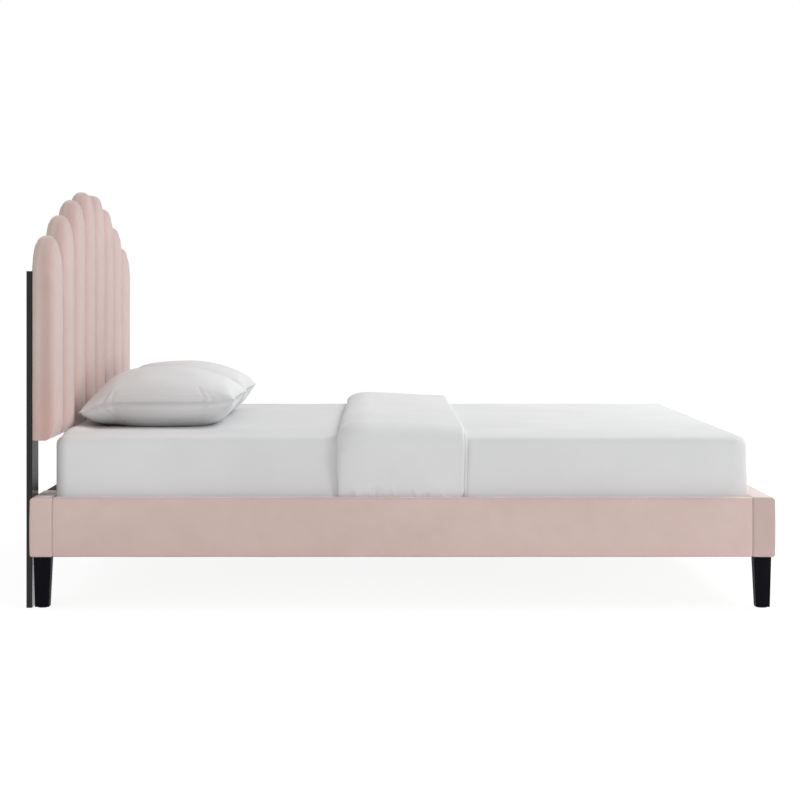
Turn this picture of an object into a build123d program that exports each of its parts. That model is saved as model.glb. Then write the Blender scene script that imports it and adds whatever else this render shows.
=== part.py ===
"""King-size platform bed with a scalloped headboard of padded channels, made up with a mattress.

Millimetres. X runs from the head (-) to the foot (+), Y across the bed, Z up from the floor.
Right and left are the sleeper's, so the right side is -Y. The origin is on the floor, under
the middle of the bed.
"""

import os
from math import atan2, cos, pi, sin

from build123d import *

# Mattress and bedding
MATTRESS_LENGTH = 2032
MATTRESS_WIDTH = 1930
MATTRESS_HEIGHT = 246
MATTRESS_CORNER = 40
MATTRESS_EDGE = 24
MATTRESS_END_GAP = 2
MATTRESS_SIDE_GAP = 5.5
MATTRESS_SINK = 73
SHEET_THICKNESS = 1.2
SHEET_HEM_LIFT = 14
PILLOW_LENGTH = 580
PILLOW_WIDTH = 484
PILLOW_HEIGHT = 186
PILLOW_SEAM_HEAD = 58
PILLOW_SEAM_FOOT = 92
PILLOW_CONTACT = 250
PILLOW_DRAW = 14
PILLOW_HEAD_GAP = 11
PILLOW_MIDDLE_GAP = 6
PILLOW_STATIONS = (-1, -0.93, -0.72, 0, 0.72, 0.93, 1)
PILLOW_END_FULLNESS = 0.1
PILLOW_END_POWER = 2.4
PILLOW_TOP_POWER = 2.6
PILLOW_UNDER_POWER = 0.55
PILLOW_SHOULDER = 0.7
PILLOW_SHOULDER_TURN = 0.92
COVER_HEAD_X = -192
COVER_WIDTH = 392
COVER_HEAD_THICKNESS = 42
COVER_FOOT_THICKNESS = 30
COVER_STEP = 14
COVER_FOLD_GAP = 2
COVER_SIDE_GAP = 1
COVER_HEM_LIFT = 2
COVER_HEM_SHARE = 0.45

# Rails: wood cores in velvet, padded where it shows and bare where it folds out of sight
RAIL_HEIGHT = 173
RAIL_CROWN = 2
RAIL_EDGE = 8
RAIL_LOWER_EDGE = 4
RAIL_END_EDGE = 3.5
PADDING = 6
VELVET = 1.5
END_CORE = 60
SIDE_CORE = 32
FLAP_DROP = 10
HEAD_COVER_LENGTH = 242
DUST_CLOTH = 1

# Mattress support
SLAT_COUNT = 13
SLAT_WIDTH = 75
SLAT_THICKNESS = 18
SLAT_CORNER = 6
SLAT_END_GAP = 5
LEDGER_WIDTH = 30
LEDGER_HEIGHT = 40
LEDGER_END_GAP = 75
STRAP_WIDTH = 25
STRAP_THICKNESS = 1.5
STRAP_SPACING = 1100
BEAM_WIDTH = 40
BEAM_HEIGHT = 70
BEAM_WALL = 2.5
HANGER_STEEL = 3
HANGER_DEPTH = 45
HANGER_FIT = 0.3
BRACKET_STEEL = 3
BRACKET_ARM = 60
BRACKET_HEIGHT = 66
BRACKET_DROP = 4
BRACKET_BOLT_SPACING = 34
BRACKET_BOLT_REACH = 38

# Headboard
CHANNEL_COUNT = 8
CHANNEL_BACK_EDGE = 28
CHANNEL_BAND = 8
CHANNEL_SHOULDER = 30
CHANNEL_CROWN = 4
CHANNEL_FOOT_EDGE = 26
CHANNEL_GAP = 0.6
TOP_OUTER = 1089
TOP_SECOND = 1158
TOP_THIRD = 1216
TOP_MIDDLE = 1252
HEADBOARD_BASE = 492
PANEL_THICKNESS = 15
PANEL_RIM = 20
PANEL_FOOT_RIM = 11
PANEL_FIT = 0.5
STRUT_THICKNESS = 17
STRUT_WIDTH = 120
STRUT_HEIGHT = 982
STRUT_INSET = 20
STRUT_EDGE = 1.5
STRUT_FIT = 0.5
PANEL_BOLT_MARGIN = 70
PANEL_BOLT_COUNT = 3
RAIL_BOLT_SPACING = 80

# Legs
LEG_HEIGHT = 150
LEG_HEAD = 51
LEG_FOOT = 41
LEG_EDGE = 2.5
LEG_INSET = 14
LEG_SPLAY = 1.5
LEG_BOLT_GRIP = 40
GLIDE_THICKNESS = 3
GLIDE_DIAMETER = 30
INSERT_DIAMETER = 13
INSERT_LENGTH = 32

# Fasteners
BOLT_DIAMETER = 8
BOLT_HEAD_DIAMETER = 14
BOLT_HEAD_HEIGHT = 4.5
BOLT_SOCKET = 5
BOLT_SOCKET_DEPTH = 3
WASHER_DIAMETER = 18
WASHER_THICKNESS = 1.5
TEE_BARREL_DIAMETER = 10.5
TEE_BARREL_LENGTH = 11
TEE_FLANGE_DIAMETER = 22
TEE_FLANGE_THICKNESS = 1.5
CORNER_BOLT_DEPTH = 25
CORNER_BOLT_FLANGE = 17
CORNER_BOLT_HEX = 13
HOLE_FIT = 0.15

# Places along the bed, from the head to the foot
bed_length = (
    STRUT_THICKNESS
    + 2 * (END_CORE + VELVET + MATTRESS_END_GAP)
    + MATTRESS_LENGTH
    + PADDING
)
strut_back = -bed_length / 2
headboard_back = strut_back + STRUT_THICKNESS
head_core_inner = headboard_back + END_CORE
mattress_head = head_core_inner + VELVET + MATTRESS_END_GAP
mattress_foot = mattress_head + MATTRESS_LENGTH
mattress_middle = (mattress_head + mattress_foot) / 2
foot_core_inner = mattress_foot + MATTRESS_END_GAP + VELVET
side_length = foot_core_inner - head_core_inner

# Places across the bed, out from its middle
side_core_inner = MATTRESS_WIDTH / 2 + MATTRESS_SIDE_GAP + VELVET
side_core_outer = side_core_inner + SIDE_CORE
half_width = side_core_outer + PADDING

# Heights above the floor
rail_top = LEG_HEIGHT + RAIL_HEIGHT
core_base = LEG_HEIGHT + VELVET
core_top = rail_top - PADDING
core_height = core_top - core_base
slat_top = rail_top - MATTRESS_SINK
slat_base = slat_top - SLAT_THICKNESS
flap_base = slat_top - FLAP_DROP
mattress_top = slat_top + MATTRESS_HEIGHT
sheet_top = mattress_top + SHEET_THICKNESS

# Sides and ends as signs along Y and X
SIDES = {"right": -1, "left": 1}
ENDS = {"head": (-1, head_core_inner), "foot": (1, foot_core_inner)}

os.makedirs("parts", exist_ok=True)


def hand_over(piece, name):
    """Label a finished piece and write its file."""
    piece.part.label = name
    export_step(piece.part, f"parts/{name}.step")


# Headboard: eight padded channels side by side on one scalloped panel. A channel is a
# crowned bolster with a half-round top. Its velvet rolls round the edge of the panel, in a
# back edge, a flat band and a shoulder that runs into the crown.
panel_back = headboard_back + DUST_CLOTH
panel_front = panel_back + PANEL_THICKNESS
channel_pitch = 2 * half_width / CHANNEL_COUNT
channel_half = (channel_pitch - CHANNEL_GAP) / 2
channel_side = CHANNEL_BACK_EDGE + CHANNEL_BAND
channel_depth = channel_side + CHANNEL_SHOULDER + CHANNEL_CROWN
rising_tops = [TOP_OUTER, TOP_SECOND, TOP_THIRD, TOP_MIDDLE]
channel_tops = rising_tops + rising_tops[::-1]
channel_rows = [(i - (CHANNEL_COUNT - 1) / 2) * channel_pitch for i in range(CHANNEL_COUNT)]
channel_springs = [top - channel_half for top in channel_tops]

# The crown arc that meets both shoulder arcs of a channel's section without a crease
shoulder_row = channel_half - CHANNEL_SHOULDER
shoulder_drop = CHANNEL_SHOULDER + CHANNEL_CROWN
crown_radius = (shoulder_row**2 + shoulder_drop**2 - CHANNEL_SHOULDER**2) / (2 * CHANNEL_CROWN)
crown_centre = channel_depth - crown_radius
crown_angle = atan2(channel_side - crown_centre, shoulder_row)


def half_channel_section(row, side):
    """Half of a channel's section, from its middle line out to the seam on one side."""

    def point(depth, across):
        return (headboard_back + depth, row + side * across)

    def on_arc(depth, across, radius, angle):
        return point(depth + radius * sin(angle), across + radius * cos(angle))

    shoulder_end = on_arc(channel_side, shoulder_row, CHANNEL_SHOULDER, crown_angle)
    with BuildLine() as outline:
        Line(point(0, 0), point(0, channel_half - CHANNEL_BACK_EDGE))
        ThreePointArc(
            point(0, channel_half - CHANNEL_BACK_EDGE),
            on_arc(CHANNEL_BACK_EDGE, channel_half - CHANNEL_BACK_EDGE, CHANNEL_BACK_EDGE, -pi / 4),
            point(CHANNEL_BACK_EDGE, channel_half),
        )
        Line(point(CHANNEL_BACK_EDGE, channel_half), point(channel_side, channel_half))
        ThreePointArc(
            point(channel_side, channel_half),
            on_arc(channel_side, shoulder_row, CHANNEL_SHOULDER, crown_angle / 2),
            shoulder_end,
        )
        ThreePointArc(
            shoulder_end,
            on_arc(crown_centre, 0, crown_radius, (crown_angle + pi / 2) / 2),
            point(channel_depth, 0),
        )
        Line(point(channel_depth, 0), point(0, 0))
    make_face(outline.edges())


def panel_outline(room):
    """The panel's scalloped outline, inside the rolled edge, with some room left round it."""
    rim = PANEL_RIM - room
    base = HEADBOARD_BASE + PANEL_FOOT_RIM - room
    for row, spring in zip(channel_rows, channel_springs):
        with Locations((row, (base + spring) / 2)):
            Rectangle(2 * (channel_half - rim), spring - base)
        with Locations((row, spring)):
            Circle(channel_half - rim)
    for i in range(CHANNEL_COUNT - 1):
        joined_top = min(channel_springs[i], channel_springs[i + 1]) - rim
        with Locations((channel_rows[i] + channel_pitch / 2, (base + joined_top) / 2)):
            Rectangle(channel_pitch, joined_top - base)


for i in range(CHANNEL_COUNT):
    row = channel_rows[i]
    spring = channel_springs[i]
    with BuildPart() as channel:
        with BuildSketch(Plane.XY.offset(HEADBOARD_BASE)):
            half_channel_section(row, 1)
            half_channel_section(row, -1)
        extrude(amount=spring - HEADBOARD_BASE)
        with BuildSketch(Plane.XY.offset(spring)):
            half_channel_section(row, 1)
        revolve(axis=Axis((0, row, spring), (1, 0, 0)), revolution_arc=180)
        # The lower front edge is rounded over, from side to side
        with BuildSketch(Plane.XZ.offset(-row - channel_half)):
            foot_front = headboard_back + channel_depth
            with Locations((foot_front, HEADBOARD_BASE)):
                Rectangle(2 * CHANNEL_FOOT_EDGE, 2 * CHANNEL_FOOT_EDGE)
            with Locations((foot_front - CHANNEL_FOOT_EDGE, HEADBOARD_BASE + CHANNEL_FOOT_EDGE)):
                Circle(CHANNEL_FOOT_EDGE, mode=Mode.SUBTRACT)
        extrude(amount=2 * channel_half, mode=Mode.SUBTRACT)
        with BuildSketch(Plane.YZ.offset(headboard_back)):
            panel_outline(PANEL_FIT)
        extrude(amount=panel_front - headboard_back, mode=Mode.SUBTRACT)
    hand_over(channel, f"headboard_channel_{i + 1}")

# Struts: two flat bars from the floor up the headboard's back. Bolts from behind, with
# their heads sunk flush, hold them to the panel and to the core of the head rail.
strut_row = half_width - STRUT_INSET - STRUT_WIDTH / 2
panel_bolt_low = HEADBOARD_BASE + PANEL_BOLT_MARGIN
panel_bolt_step = (STRUT_HEIGHT - PANEL_BOLT_MARGIN - panel_bolt_low) / (PANEL_BOLT_COUNT - 1)
panel_bolt_heights = [panel_bolt_low + i * panel_bolt_step for i in range(PANEL_BOLT_COUNT)]
rail_middle = (core_base + core_top) / 2
rail_bolt_heights = [rail_middle - RAIL_BOLT_SPACING / 2, rail_middle + RAIL_BOLT_SPACING / 2]
panel_bolts = [(side * strut_row, z) for side in SIDES.values() for z in panel_bolt_heights]
rail_bolts = [(side * strut_row, z) for side in SIDES.values() for z in rail_bolt_heights]
head_recess = BOLT_HEAD_HEIGHT + WASHER_THICKNESS
bolt_hole = BOLT_DIAMETER / 2 + HOLE_FIT


def facing(x, points, direction):
    """Planes at places (y, z) on the plane at x, looking along X."""
    return [Plane((x, y, z), x_dir=(0, 1, 0), z_dir=(direction, 0, 0)) for y, z in points]


def tee_nut_holes(x, points):
    """Stepped holes for tee nuts let into a face that looks to the foot."""
    with Locations(*facing(x, points, 1)):
        CounterBoreHole(
            radius=TEE_BARREL_DIAMETER / 2 + HOLE_FIT,
            counter_bore_radius=TEE_FLANGE_DIAMETER / 2 + HOLE_FIT,
            counter_bore_depth=TEE_FLANGE_THICKNESS,
        )


def sunk_bolts(points, tip):
    """Bolts along X with socket heads flush with the back of the struts."""
    with BuildSketch(Plane.YZ.offset(strut_back)) as heads:
        with Locations(*points):
            Circle(BOLT_HEAD_DIAMETER / 2)
    extrude(heads.sketch, amount=BOLT_HEAD_HEIGHT)
    with BuildSketch(Plane.YZ.offset(strut_back + BOLT_HEAD_HEIGHT)) as shanks:
        with Locations(*points):
            Circle(BOLT_DIAMETER / 2)
    extrude(shanks.sketch, amount=tip - strut_back - BOLT_HEAD_HEIGHT)
    with BuildSketch(Plane.YZ.offset(strut_back)) as sockets:
        with Locations(*points):
            RegularPolygon(BOLT_SOCKET / 2, 6, major_radius=False)
    extrude(sockets.sketch, amount=BOLT_SOCKET_DEPTH, mode=Mode.SUBTRACT)


def tee_nuts(x, points):
    """Tee nuts whose flanges lie flush in a face at x that looks to the foot."""
    with BuildSketch(Plane.YZ.offset(x)) as flanges:
        with Locations(*points):
            Circle(TEE_FLANGE_DIAMETER / 2)
    extrude(flanges.sketch, amount=-TEE_FLANGE_THICKNESS)
    with BuildSketch(Plane.YZ.offset(x)) as barrels:
        with Locations(*points):
            Circle(TEE_BARREL_DIAMETER / 2)
    extrude(barrels.sketch, amount=-TEE_BARREL_LENGTH)
    with BuildSketch(Plane.YZ.offset(x)) as bores:
        with Locations(*points):
            Circle(bolt_hole)
    extrude(bores.sketch, amount=-TEE_BARREL_LENGTH, mode=Mode.SUBTRACT)


for name, side in SIDES.items():
    with BuildPart() as strut:
        with BuildSketch():
            with Locations((strut_back + STRUT_THICKNESS / 2, side * strut_row)):
                Rectangle(STRUT_THICKNESS, STRUT_WIDTH)
        extrude(amount=STRUT_HEIGHT)
        fillet(strut.edges().filter_by(Axis.Z), STRUT_EDGE)
        bolt_heights = panel_bolt_heights + rail_bolt_heights
        with Locations(*facing(strut_back, [(side * strut_row, z) for z in bolt_heights], -1)):
            CounterBoreHole(
                radius=bolt_hole,
                counter_bore_radius=WASHER_DIAMETER / 2 + HOLE_FIT,
                counter_bore_depth=head_recess,
            )
    hand_over(strut, f"headboard_strut_{name}")

with BuildPart() as headboard_panel:
    with BuildSketch(Plane.YZ.offset(panel_back)):
        panel_outline(0)
    extrude(amount=PANEL_THICKNESS)
    tee_nut_holes(panel_front, panel_bolts)
hand_over(headboard_panel, "headboard_panel")

with BuildPart() as headboard_back_cover:
    with BuildSketch(Plane.YZ.offset(headboard_back)):
        panel_outline(0)
        with Locations(*panel_bolts):
            Circle(bolt_hole, mode=Mode.SUBTRACT)
    extrude(amount=DUST_CLOTH)
hand_over(headboard_back_cover, "headboard_back_cover")

with BuildPart() as headboard_bolts:
    sunk_bolts(panel_bolts, panel_front)
hand_over(headboard_bolts, "headboard_bolts")

with BuildPart() as strut_rail_bolts:
    sunk_bolts(rail_bolts, head_core_inner)
hand_over(strut_rail_bolts, "strut_rail_bolts")

with BuildPart() as strut_washers:
    with BuildSketch(Plane.YZ.offset(strut_back + BOLT_HEAD_HEIGHT)):
        with Locations(*panel_bolts, *rail_bolts):
            Circle(WASHER_DIAMETER / 2)
            Circle(bolt_hole, mode=Mode.SUBTRACT)
    extrude(amount=WASHER_THICKNESS)
hand_over(strut_washers, "strut_washers")

with BuildPart() as headboard_tee_nuts:
    tee_nuts(panel_front, panel_bolts)
hand_over(headboard_tee_nuts, "headboard_tee_nuts")

with BuildPart() as rail_tee_nuts:
    tee_nuts(head_core_inner, rail_bolts)
hand_over(rail_tee_nuts, "rail_tee_nuts")

# Corner brackets: steel angles inside the four corners, under the slats. Two bolts in
# each arm go into the core of a side rail, and two into the core of an end rail.
bracket_top = slat_base - BRACKET_DROP
bracket_middle = bracket_top - BRACKET_HEIGHT / 2
bracket_bolt_heights = [
    bracket_middle - BRACKET_BOLT_SPACING / 2,
    bracket_middle + BRACKET_BOLT_SPACING / 2,
]


def end_bolt_planes(end):
    """Planes of the corner bolts on the inner face of an end rail's core."""
    out, inner = ENDS[end]
    row = side_core_inner - BRACKET_BOLT_REACH
    points = [(side * row, z) for side in SIDES.values() for z in bracket_bolt_heights]
    return facing(inner, points, -out)


def side_bolt_planes(side):
    """Planes of the corner bolts on the inner face of a side rail's core."""
    places = [inner - out * BRACKET_BOLT_REACH for out, inner in ENDS.values()]
    return [
        Plane((x, side * side_core_inner, z), x_dir=(1, 0, 0), z_dir=(0, -side, 0))
        for x in places
        for z in bracket_bolt_heights
    ]


corner_bolt_planes = [
    *end_bolt_planes("head"),
    *end_bolt_planes("foot"),
    *side_bolt_planes(-1),
    *side_bolt_planes(1),
]

with BuildPart() as corner_brackets:
    for out, inner in ENDS.values():
        for side in SIDES.values():
            with BuildSketch(Plane.XY.offset(bracket_top)):
                with BuildLine():
                    heel = (inner, side * side_core_inner)
                    Polyline(
                        (inner - out * BRACKET_ARM, heel[1]),
                        heel,
                        (inner, side * (side_core_inner - BRACKET_ARM)),
                        (inner - out * BRACKET_STEEL, side * (side_core_inner - BRACKET_ARM)),
                        (inner - out * BRACKET_STEEL, side * (side_core_inner - BRACKET_STEEL)),
                        (inner - out * BRACKET_ARM, side * (side_core_inner - BRACKET_STEEL)),
                        close=True,
                    )
                make_face()
            extrude(amount=-BRACKET_HEIGHT)
    with Locations(*corner_bolt_planes):
        Cylinder(bolt_hole, 2 * BRACKET_STEEL, mode=Mode.SUBTRACT)
hand_over(corner_brackets, "corner_brackets")

with BuildPart() as corner_bolts:
    for plane in corner_bolt_planes:
        with BuildSketch(plane.offset(BRACKET_STEEL)):
            Circle(CORNER_BOLT_FLANGE / 2)
        extrude(amount=WASHER_THICKNESS)
        with BuildSketch(plane.offset(BRACKET_STEEL + WASHER_THICKNESS)):
            RegularPolygon(CORNER_BOLT_HEX / 2, 6, major_radius=False)
        extrude(amount=BOLT_HEAD_HEIGHT)
        with BuildSketch(plane.offset(BRACKET_STEEL)):
            Circle(BOLT_DIAMETER / 2)
        extrude(amount=-BRACKET_STEEL - CORNER_BOLT_DEPTH)
hand_over(corner_bolts, "corner_bolts")

# Legs: tapered square posts under the ends of the head and foot rails. A hanger bolt in
# the top of each screws into a threaded insert in the rail's core.
leg_row = half_width - LEG_INSET - LEG_HEAD / 2
leg_places = {
    f"leg_{end}_{name}": (inner + out * END_CORE / 2, side * leg_row, out, side)
    for end, (out, inner) in ENDS.items()
    for name, side in SIDES.items()
}
leg_points = [place[:2] for place in leg_places.values()]

for name, (x, y, out, side) in leg_places.items():
    with BuildPart() as leg:
        with BuildSketch(Plane.XY.offset(GLIDE_THICKNESS)):
            with Locations((x + out * LEG_SPLAY, y + side * LEG_SPLAY)):
                RectangleRounded(LEG_FOOT, LEG_FOOT, LEG_EDGE)
        with BuildSketch(Plane.XY.offset(LEG_HEIGHT)):
            with Locations((x, y)):
                RectangleRounded(LEG_HEAD, LEG_HEAD, LEG_EDGE)
        loft()
        with Locations((x, y, LEG_HEIGHT)):
            Hole(bolt_hole, LEG_BOLT_GRIP)
    hand_over(leg, name)

with BuildPart() as leg_hanger_bolts:
    with BuildSketch(Plane.XY.offset(LEG_HEIGHT - LEG_BOLT_GRIP)):
        with Locations(*leg_points):
            Circle(BOLT_DIAMETER / 2)
    extrude(amount=LEG_BOLT_GRIP + VELVET + INSERT_LENGTH)
hand_over(leg_hanger_bolts, "leg_hanger_bolts")

with BuildPart() as leg_inserts:
    with BuildSketch(Plane.XY.offset(core_base)):
        with Locations(*leg_points):
            Circle(INSERT_DIAMETER / 2)
            Circle(bolt_hole, mode=Mode.SUBTRACT)
    extrude(amount=INSERT_LENGTH)
hand_over(leg_inserts, "leg_inserts")

with BuildPart() as leg_glides:
    with BuildSketch():
        for x, y, out, side in leg_places.values():
            with Locations((x + out * LEG_SPLAY, y + side * LEG_SPLAY)):
                Circle(GLIDE_DIAMETER / 2)
    extrude(amount=GLIDE_THICKNESS)
    fillet(leg_glides.edges().group_by(Axis.Z)[0], GLIDE_THICKNESS / 3)
hand_over(leg_glides, "leg_glides")

# End rails: the head and foot rails run across the full width, with the side rails butted
# between them. Their velvet goes round the ends; the head rail has it only at its ends.
insert_hole = INSERT_DIAMETER / 2 + HOLE_FIT


def end_core(end):
    """The wood core of an end rail, bored for the legs and the corner bolts."""
    out, inner = ENDS[end]
    with BuildSketch(Plane.XY.offset(core_base)) as plan:
        with Locations((inner + out * END_CORE / 2, 0)):
            Rectangle(END_CORE, 2 * side_core_outer)
    extrude(plan.sketch, amount=core_height)
    with Locations(*end_bolt_planes(end)):
        Hole(bolt_hole, CORNER_BOLT_DEPTH)
    for side in SIDES.values():
        leg_head = (inner + out * END_CORE / 2, side * leg_row, core_base)
        with Locations(Plane(leg_head, x_dir=(1, 0, 0), z_dir=(0, 0, -1))):
            Hole(insert_hole, INSERT_LENGTH)


def rail_section(inner, outer):
    """A covered rail's section: flat inside, crowned outside, rounded along its edges."""
    out = 1 if outer > inner else -1
    shoulder = outer - out * RAIL_CROWN
    with BuildLine() as outline:
        Polyline((shoulder, LEG_HEIGHT), (inner, LEG_HEIGHT), (inner, rail_top), (shoulder, rail_top))
        ThreePointArc((shoulder, rail_top), (outer, LEG_HEIGHT + RAIL_HEIGHT / 2), (shoulder, LEG_HEIGHT))
    with BuildSketch() as section:
        make_face(outline.edges())
        fillet(section.vertices().group_by(Axis.Y)[-1], RAIL_EDGE)
        lower_corners = section.vertices().group_by(Axis.Y)[0].sort_by(Axis.X)
        fillet(lower_corners[-1 if out > 0 else 0], RAIL_LOWER_EDGE)
    return section.sketch


def strut_slot(side):
    """The part of the velvet that is cut away where a strut bears on the core."""
    with BuildSketch(Plane.XY.offset(LEG_HEIGHT)) as plan:
        with Locations((headboard_back, side * strut_row)):
            Rectangle(PADDING, STRUT_WIDTH + 2 * STRUT_FIT, align=(Align.MAX, Align.CENTER))
    extrude(plan.sketch, amount=RAIL_HEIGHT, mode=Mode.SUBTRACT)


def end_block(end):
    """A covered end rail as one block, the full width of the bed."""
    out, inner = ENDS[end]
    with BuildSketch(Plane.XZ.offset(-half_width)) as section:
        add(rail_section(inner - out * VELVET, inner + out * (END_CORE + PADDING)))
    extrude(section.sketch, amount=2 * half_width)


def end_hollow(end):
    """Take the core's room out of an end rail's velvet, and trim its inside to a flap that
    reaches down past the mattress between the side rails."""
    out, inner = ENDS[end]
    with BuildSketch(Plane.YZ.offset(inner)) as trimmed:
        with Locations((0, LEG_HEIGHT)):
            Rectangle(2 * half_width, RAIL_HEIGHT, align=(Align.CENTER, Align.MIN))
        with Locations((0, flap_base)):
            flap_width = 2 * (side_core_inner - VELVET)
            Rectangle(flap_width, RAIL_HEIGHT, align=(Align.CENTER, Align.MIN), mode=Mode.SUBTRACT)
    extrude(trimmed.sketch, amount=-out * VELVET, mode=Mode.SUBTRACT)
    with BuildSketch(Plane.YZ.offset(inner)) as core_room:
        with Locations((0, core_base)):
            Rectangle(2 * side_core_outer, core_height, align=(Align.CENTER, Align.MIN))
    extrude(core_room.sketch, amount=out * END_CORE, mode=Mode.SUBTRACT)
    with BuildSketch(Plane.XY.offset(LEG_HEIGHT)) as leg_bolts:
        with Locations(*[(inner + out * END_CORE / 2, side * leg_row) for side in SIDES.values()]):
            Circle(bolt_hole)
    extrude(leg_bolts.sketch, amount=VELVET, mode=Mode.SUBTRACT)


with BuildPart() as head_rail_core:
    end_core("head")
    tee_nut_holes(head_core_inner, rail_bolts)
hand_over(head_rail_core, "head_rail_core")

with BuildPart() as foot_rail_core:
    end_core("foot")
hand_over(foot_rail_core, "foot_rail_core")

with BuildPart() as foot_rail_velvet:
    end_block("foot")
    fillet(foot_rail_velvet.faces().filter_by(Axis.Y).edges(), RAIL_END_EDGE)
    end_hollow("foot")
hand_over(foot_rail_velvet, "foot_rail_velvet")

with BuildPart() as head_rail_velvet:
    end_block("head")
    fillet(head_rail_velvet.faces().filter_by(Axis.Y).edges(), RAIL_END_EDGE)
    end_hollow("head")
    with BuildSketch(Plane.XZ.offset(HEAD_COVER_LENGTH - half_width)):
        with Locations(((headboard_back + head_core_inner) / 2, LEG_HEIGHT)):
            Rectangle(END_CORE + 2 * PADDING, RAIL_HEIGHT, align=(Align.CENTER, Align.MIN))
    extrude(amount=2 * (half_width - HEAD_COVER_LENGTH), mode=Mode.SUBTRACT)
    strut_slot(-1)
    strut_slot(1)
hand_over(head_rail_velvet, "head_rail_velvet")

with BuildPart() as head_rail_dust_cover:
    with BuildSketch(Plane.XZ.offset(HEAD_COVER_LENGTH - half_width)):
        with Locations((headboard_back - DUST_CLOTH, core_base - DUST_CLOTH)):
            Rectangle(END_CORE + 2 * DUST_CLOTH, core_height + 2 * DUST_CLOTH, align=Align.MIN)
        with Locations((headboard_back, core_base)):
            Rectangle(END_CORE, core_height, align=Align.MIN, mode=Mode.SUBTRACT)
        with Locations((head_core_inner, core_base - DUST_CLOTH)):
            Rectangle(DUST_CLOTH, flap_base - core_base + DUST_CLOTH, align=Align.MIN, mode=Mode.SUBTRACT)
    extrude(amount=2 * (half_width - HEAD_COVER_LENGTH))
hand_over(head_rail_dust_cover, "head_rail_dust_cover")

# Side rails: each a core between the end rails, in velvet round its outer face, top and
# underside, with a ledger strip screwed along its inside for the slats.
for name, side in SIDES.items():
    with BuildPart() as side_rail_core:
        with BuildSketch(Plane.YZ.offset(head_core_inner)):
            with Locations((side * (side_core_inner + side_core_outer) / 2, core_base)):
                Rectangle(SIDE_CORE, core_height, align=(Align.CENTER, Align.MIN))
        extrude(amount=side_length)
        with Locations(*side_bolt_planes(side)):
            Hole(bolt_hole, CORNER_BOLT_DEPTH)
    hand_over(side_rail_core, f"side_rail_core_{name}")

    with BuildPart() as side_rail_velvet:
        with BuildSketch(Plane.YZ.offset(head_core_inner)):
            add(rail_section(side * (side_core_inner - VELVET), side * half_width))
            with Locations((side * side_core_inner, LEG_HEIGHT)):
                below_flap = (Align.MAX if side > 0 else Align.MIN, Align.MIN)
                Rectangle(VELVET, flap_base - LEG_HEIGHT, align=below_flap, mode=Mode.SUBTRACT)
            with Locations((side * (side_core_inner + side_core_outer) / 2, core_base)):
                Rectangle(SIDE_CORE, core_height, align=(Align.CENTER, Align.MIN), mode=Mode.SUBTRACT)
        extrude(amount=side_length)
    hand_over(side_rail_velvet, f"side_rail_velvet_{name}")

    with BuildPart() as side_ledger:
        with BuildSketch(Plane.YZ.offset(head_core_inner + LEDGER_END_GAP)):
            with Locations((side * (side_core_inner - LEDGER_WIDTH / 2), slat_base)):
                Rectangle(LEDGER_WIDTH, LEDGER_HEIGHT, align=(Align.CENTER, Align.MAX))
        extrude(amount=side_length - 2 * LEDGER_END_GAP)
    hand_over(side_ledger, f"side_ledger_{name}")

# Slats: boards laid across from ledger to ledger over the centre beam, spaced by two straps
# stapled under them.
slat_span = side_length - 2 * LEDGER_END_GAP - SLAT_WIDTH
slat_step = slat_span / (SLAT_COUNT - 1)
slat_first = head_core_inner + LEDGER_END_GAP + SLAT_WIDTH / 2
slat_length = 2 * (side_core_inner - SLAT_END_GAP)
for i in range(SLAT_COUNT):
    with BuildPart() as slat:
        with BuildSketch(Plane.XY.offset(slat_base)):
            with Locations((slat_first + i * slat_step, 0)):
                RectangleRounded(SLAT_WIDTH, slat_length, SLAT_CORNER)
        extrude(amount=SLAT_THICKNESS)
    hand_over(slat, f"slat_{i + 1:02d}")

with BuildPart() as slat_straps:
    with BuildSketch(Plane.XY.offset(slat_base)):
        for side in SIDES.values():
            with Locations((slat_first + slat_span / 2, side * STRAP_SPACING / 2)):
                Rectangle(slat_span + SLAT_WIDTH, STRAP_WIDTH)
    extrude(amount=-STRAP_THICKNESS)
hand_over(slat_straps, "slat_straps")

# Centre beam: a steel box tube under the slats, dropped into a saddle on each end rail.
with BuildPart() as centre_beam:
    with BuildSketch(Plane.YZ.offset(head_core_inner + HANGER_STEEL + HANGER_FIT)):
        with Locations((0, slat_base - BEAM_HEIGHT / 2)):
            RectangleRounded(BEAM_WIDTH, BEAM_HEIGHT, 2 * BEAM_WALL)
            RectangleRounded(
                BEAM_WIDTH - 2 * BEAM_WALL, BEAM_HEIGHT - 2 * BEAM_WALL, BEAM_WALL, mode=Mode.SUBTRACT
            )
    extrude(amount=side_length - 2 * (HANGER_STEEL + HANGER_FIT))
hand_over(centre_beam, "centre_beam")

with BuildPart() as beam_hangers:
    saddle_width = BEAM_WIDTH + 2 * HANGER_FIT
    for out, inner in ENDS.values():
        with BuildSketch(Plane.YZ.offset(inner)):
            with Locations((0, slat_base - BEAM_HEIGHT - HANGER_STEEL)):
                Rectangle(
                    saddle_width + 2 * HANGER_STEEL,
                    BEAM_HEIGHT + HANGER_STEEL,
                    align=(Align.CENTER, Align.MIN),
                )
        extrude(amount=-out * HANGER_DEPTH)
        with BuildSketch(Plane.YZ.offset(inner - out * HANGER_STEEL)):
            with Locations((0, slat_base - BEAM_HEIGHT)):
                Rectangle(saddle_width, BEAM_HEIGHT, align=(Align.CENTER, Align.MIN))
        extrude(amount=-out * HANGER_DEPTH, mode=Mode.SUBTRACT)
hand_over(beam_hangers, "beam_hangers")

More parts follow.
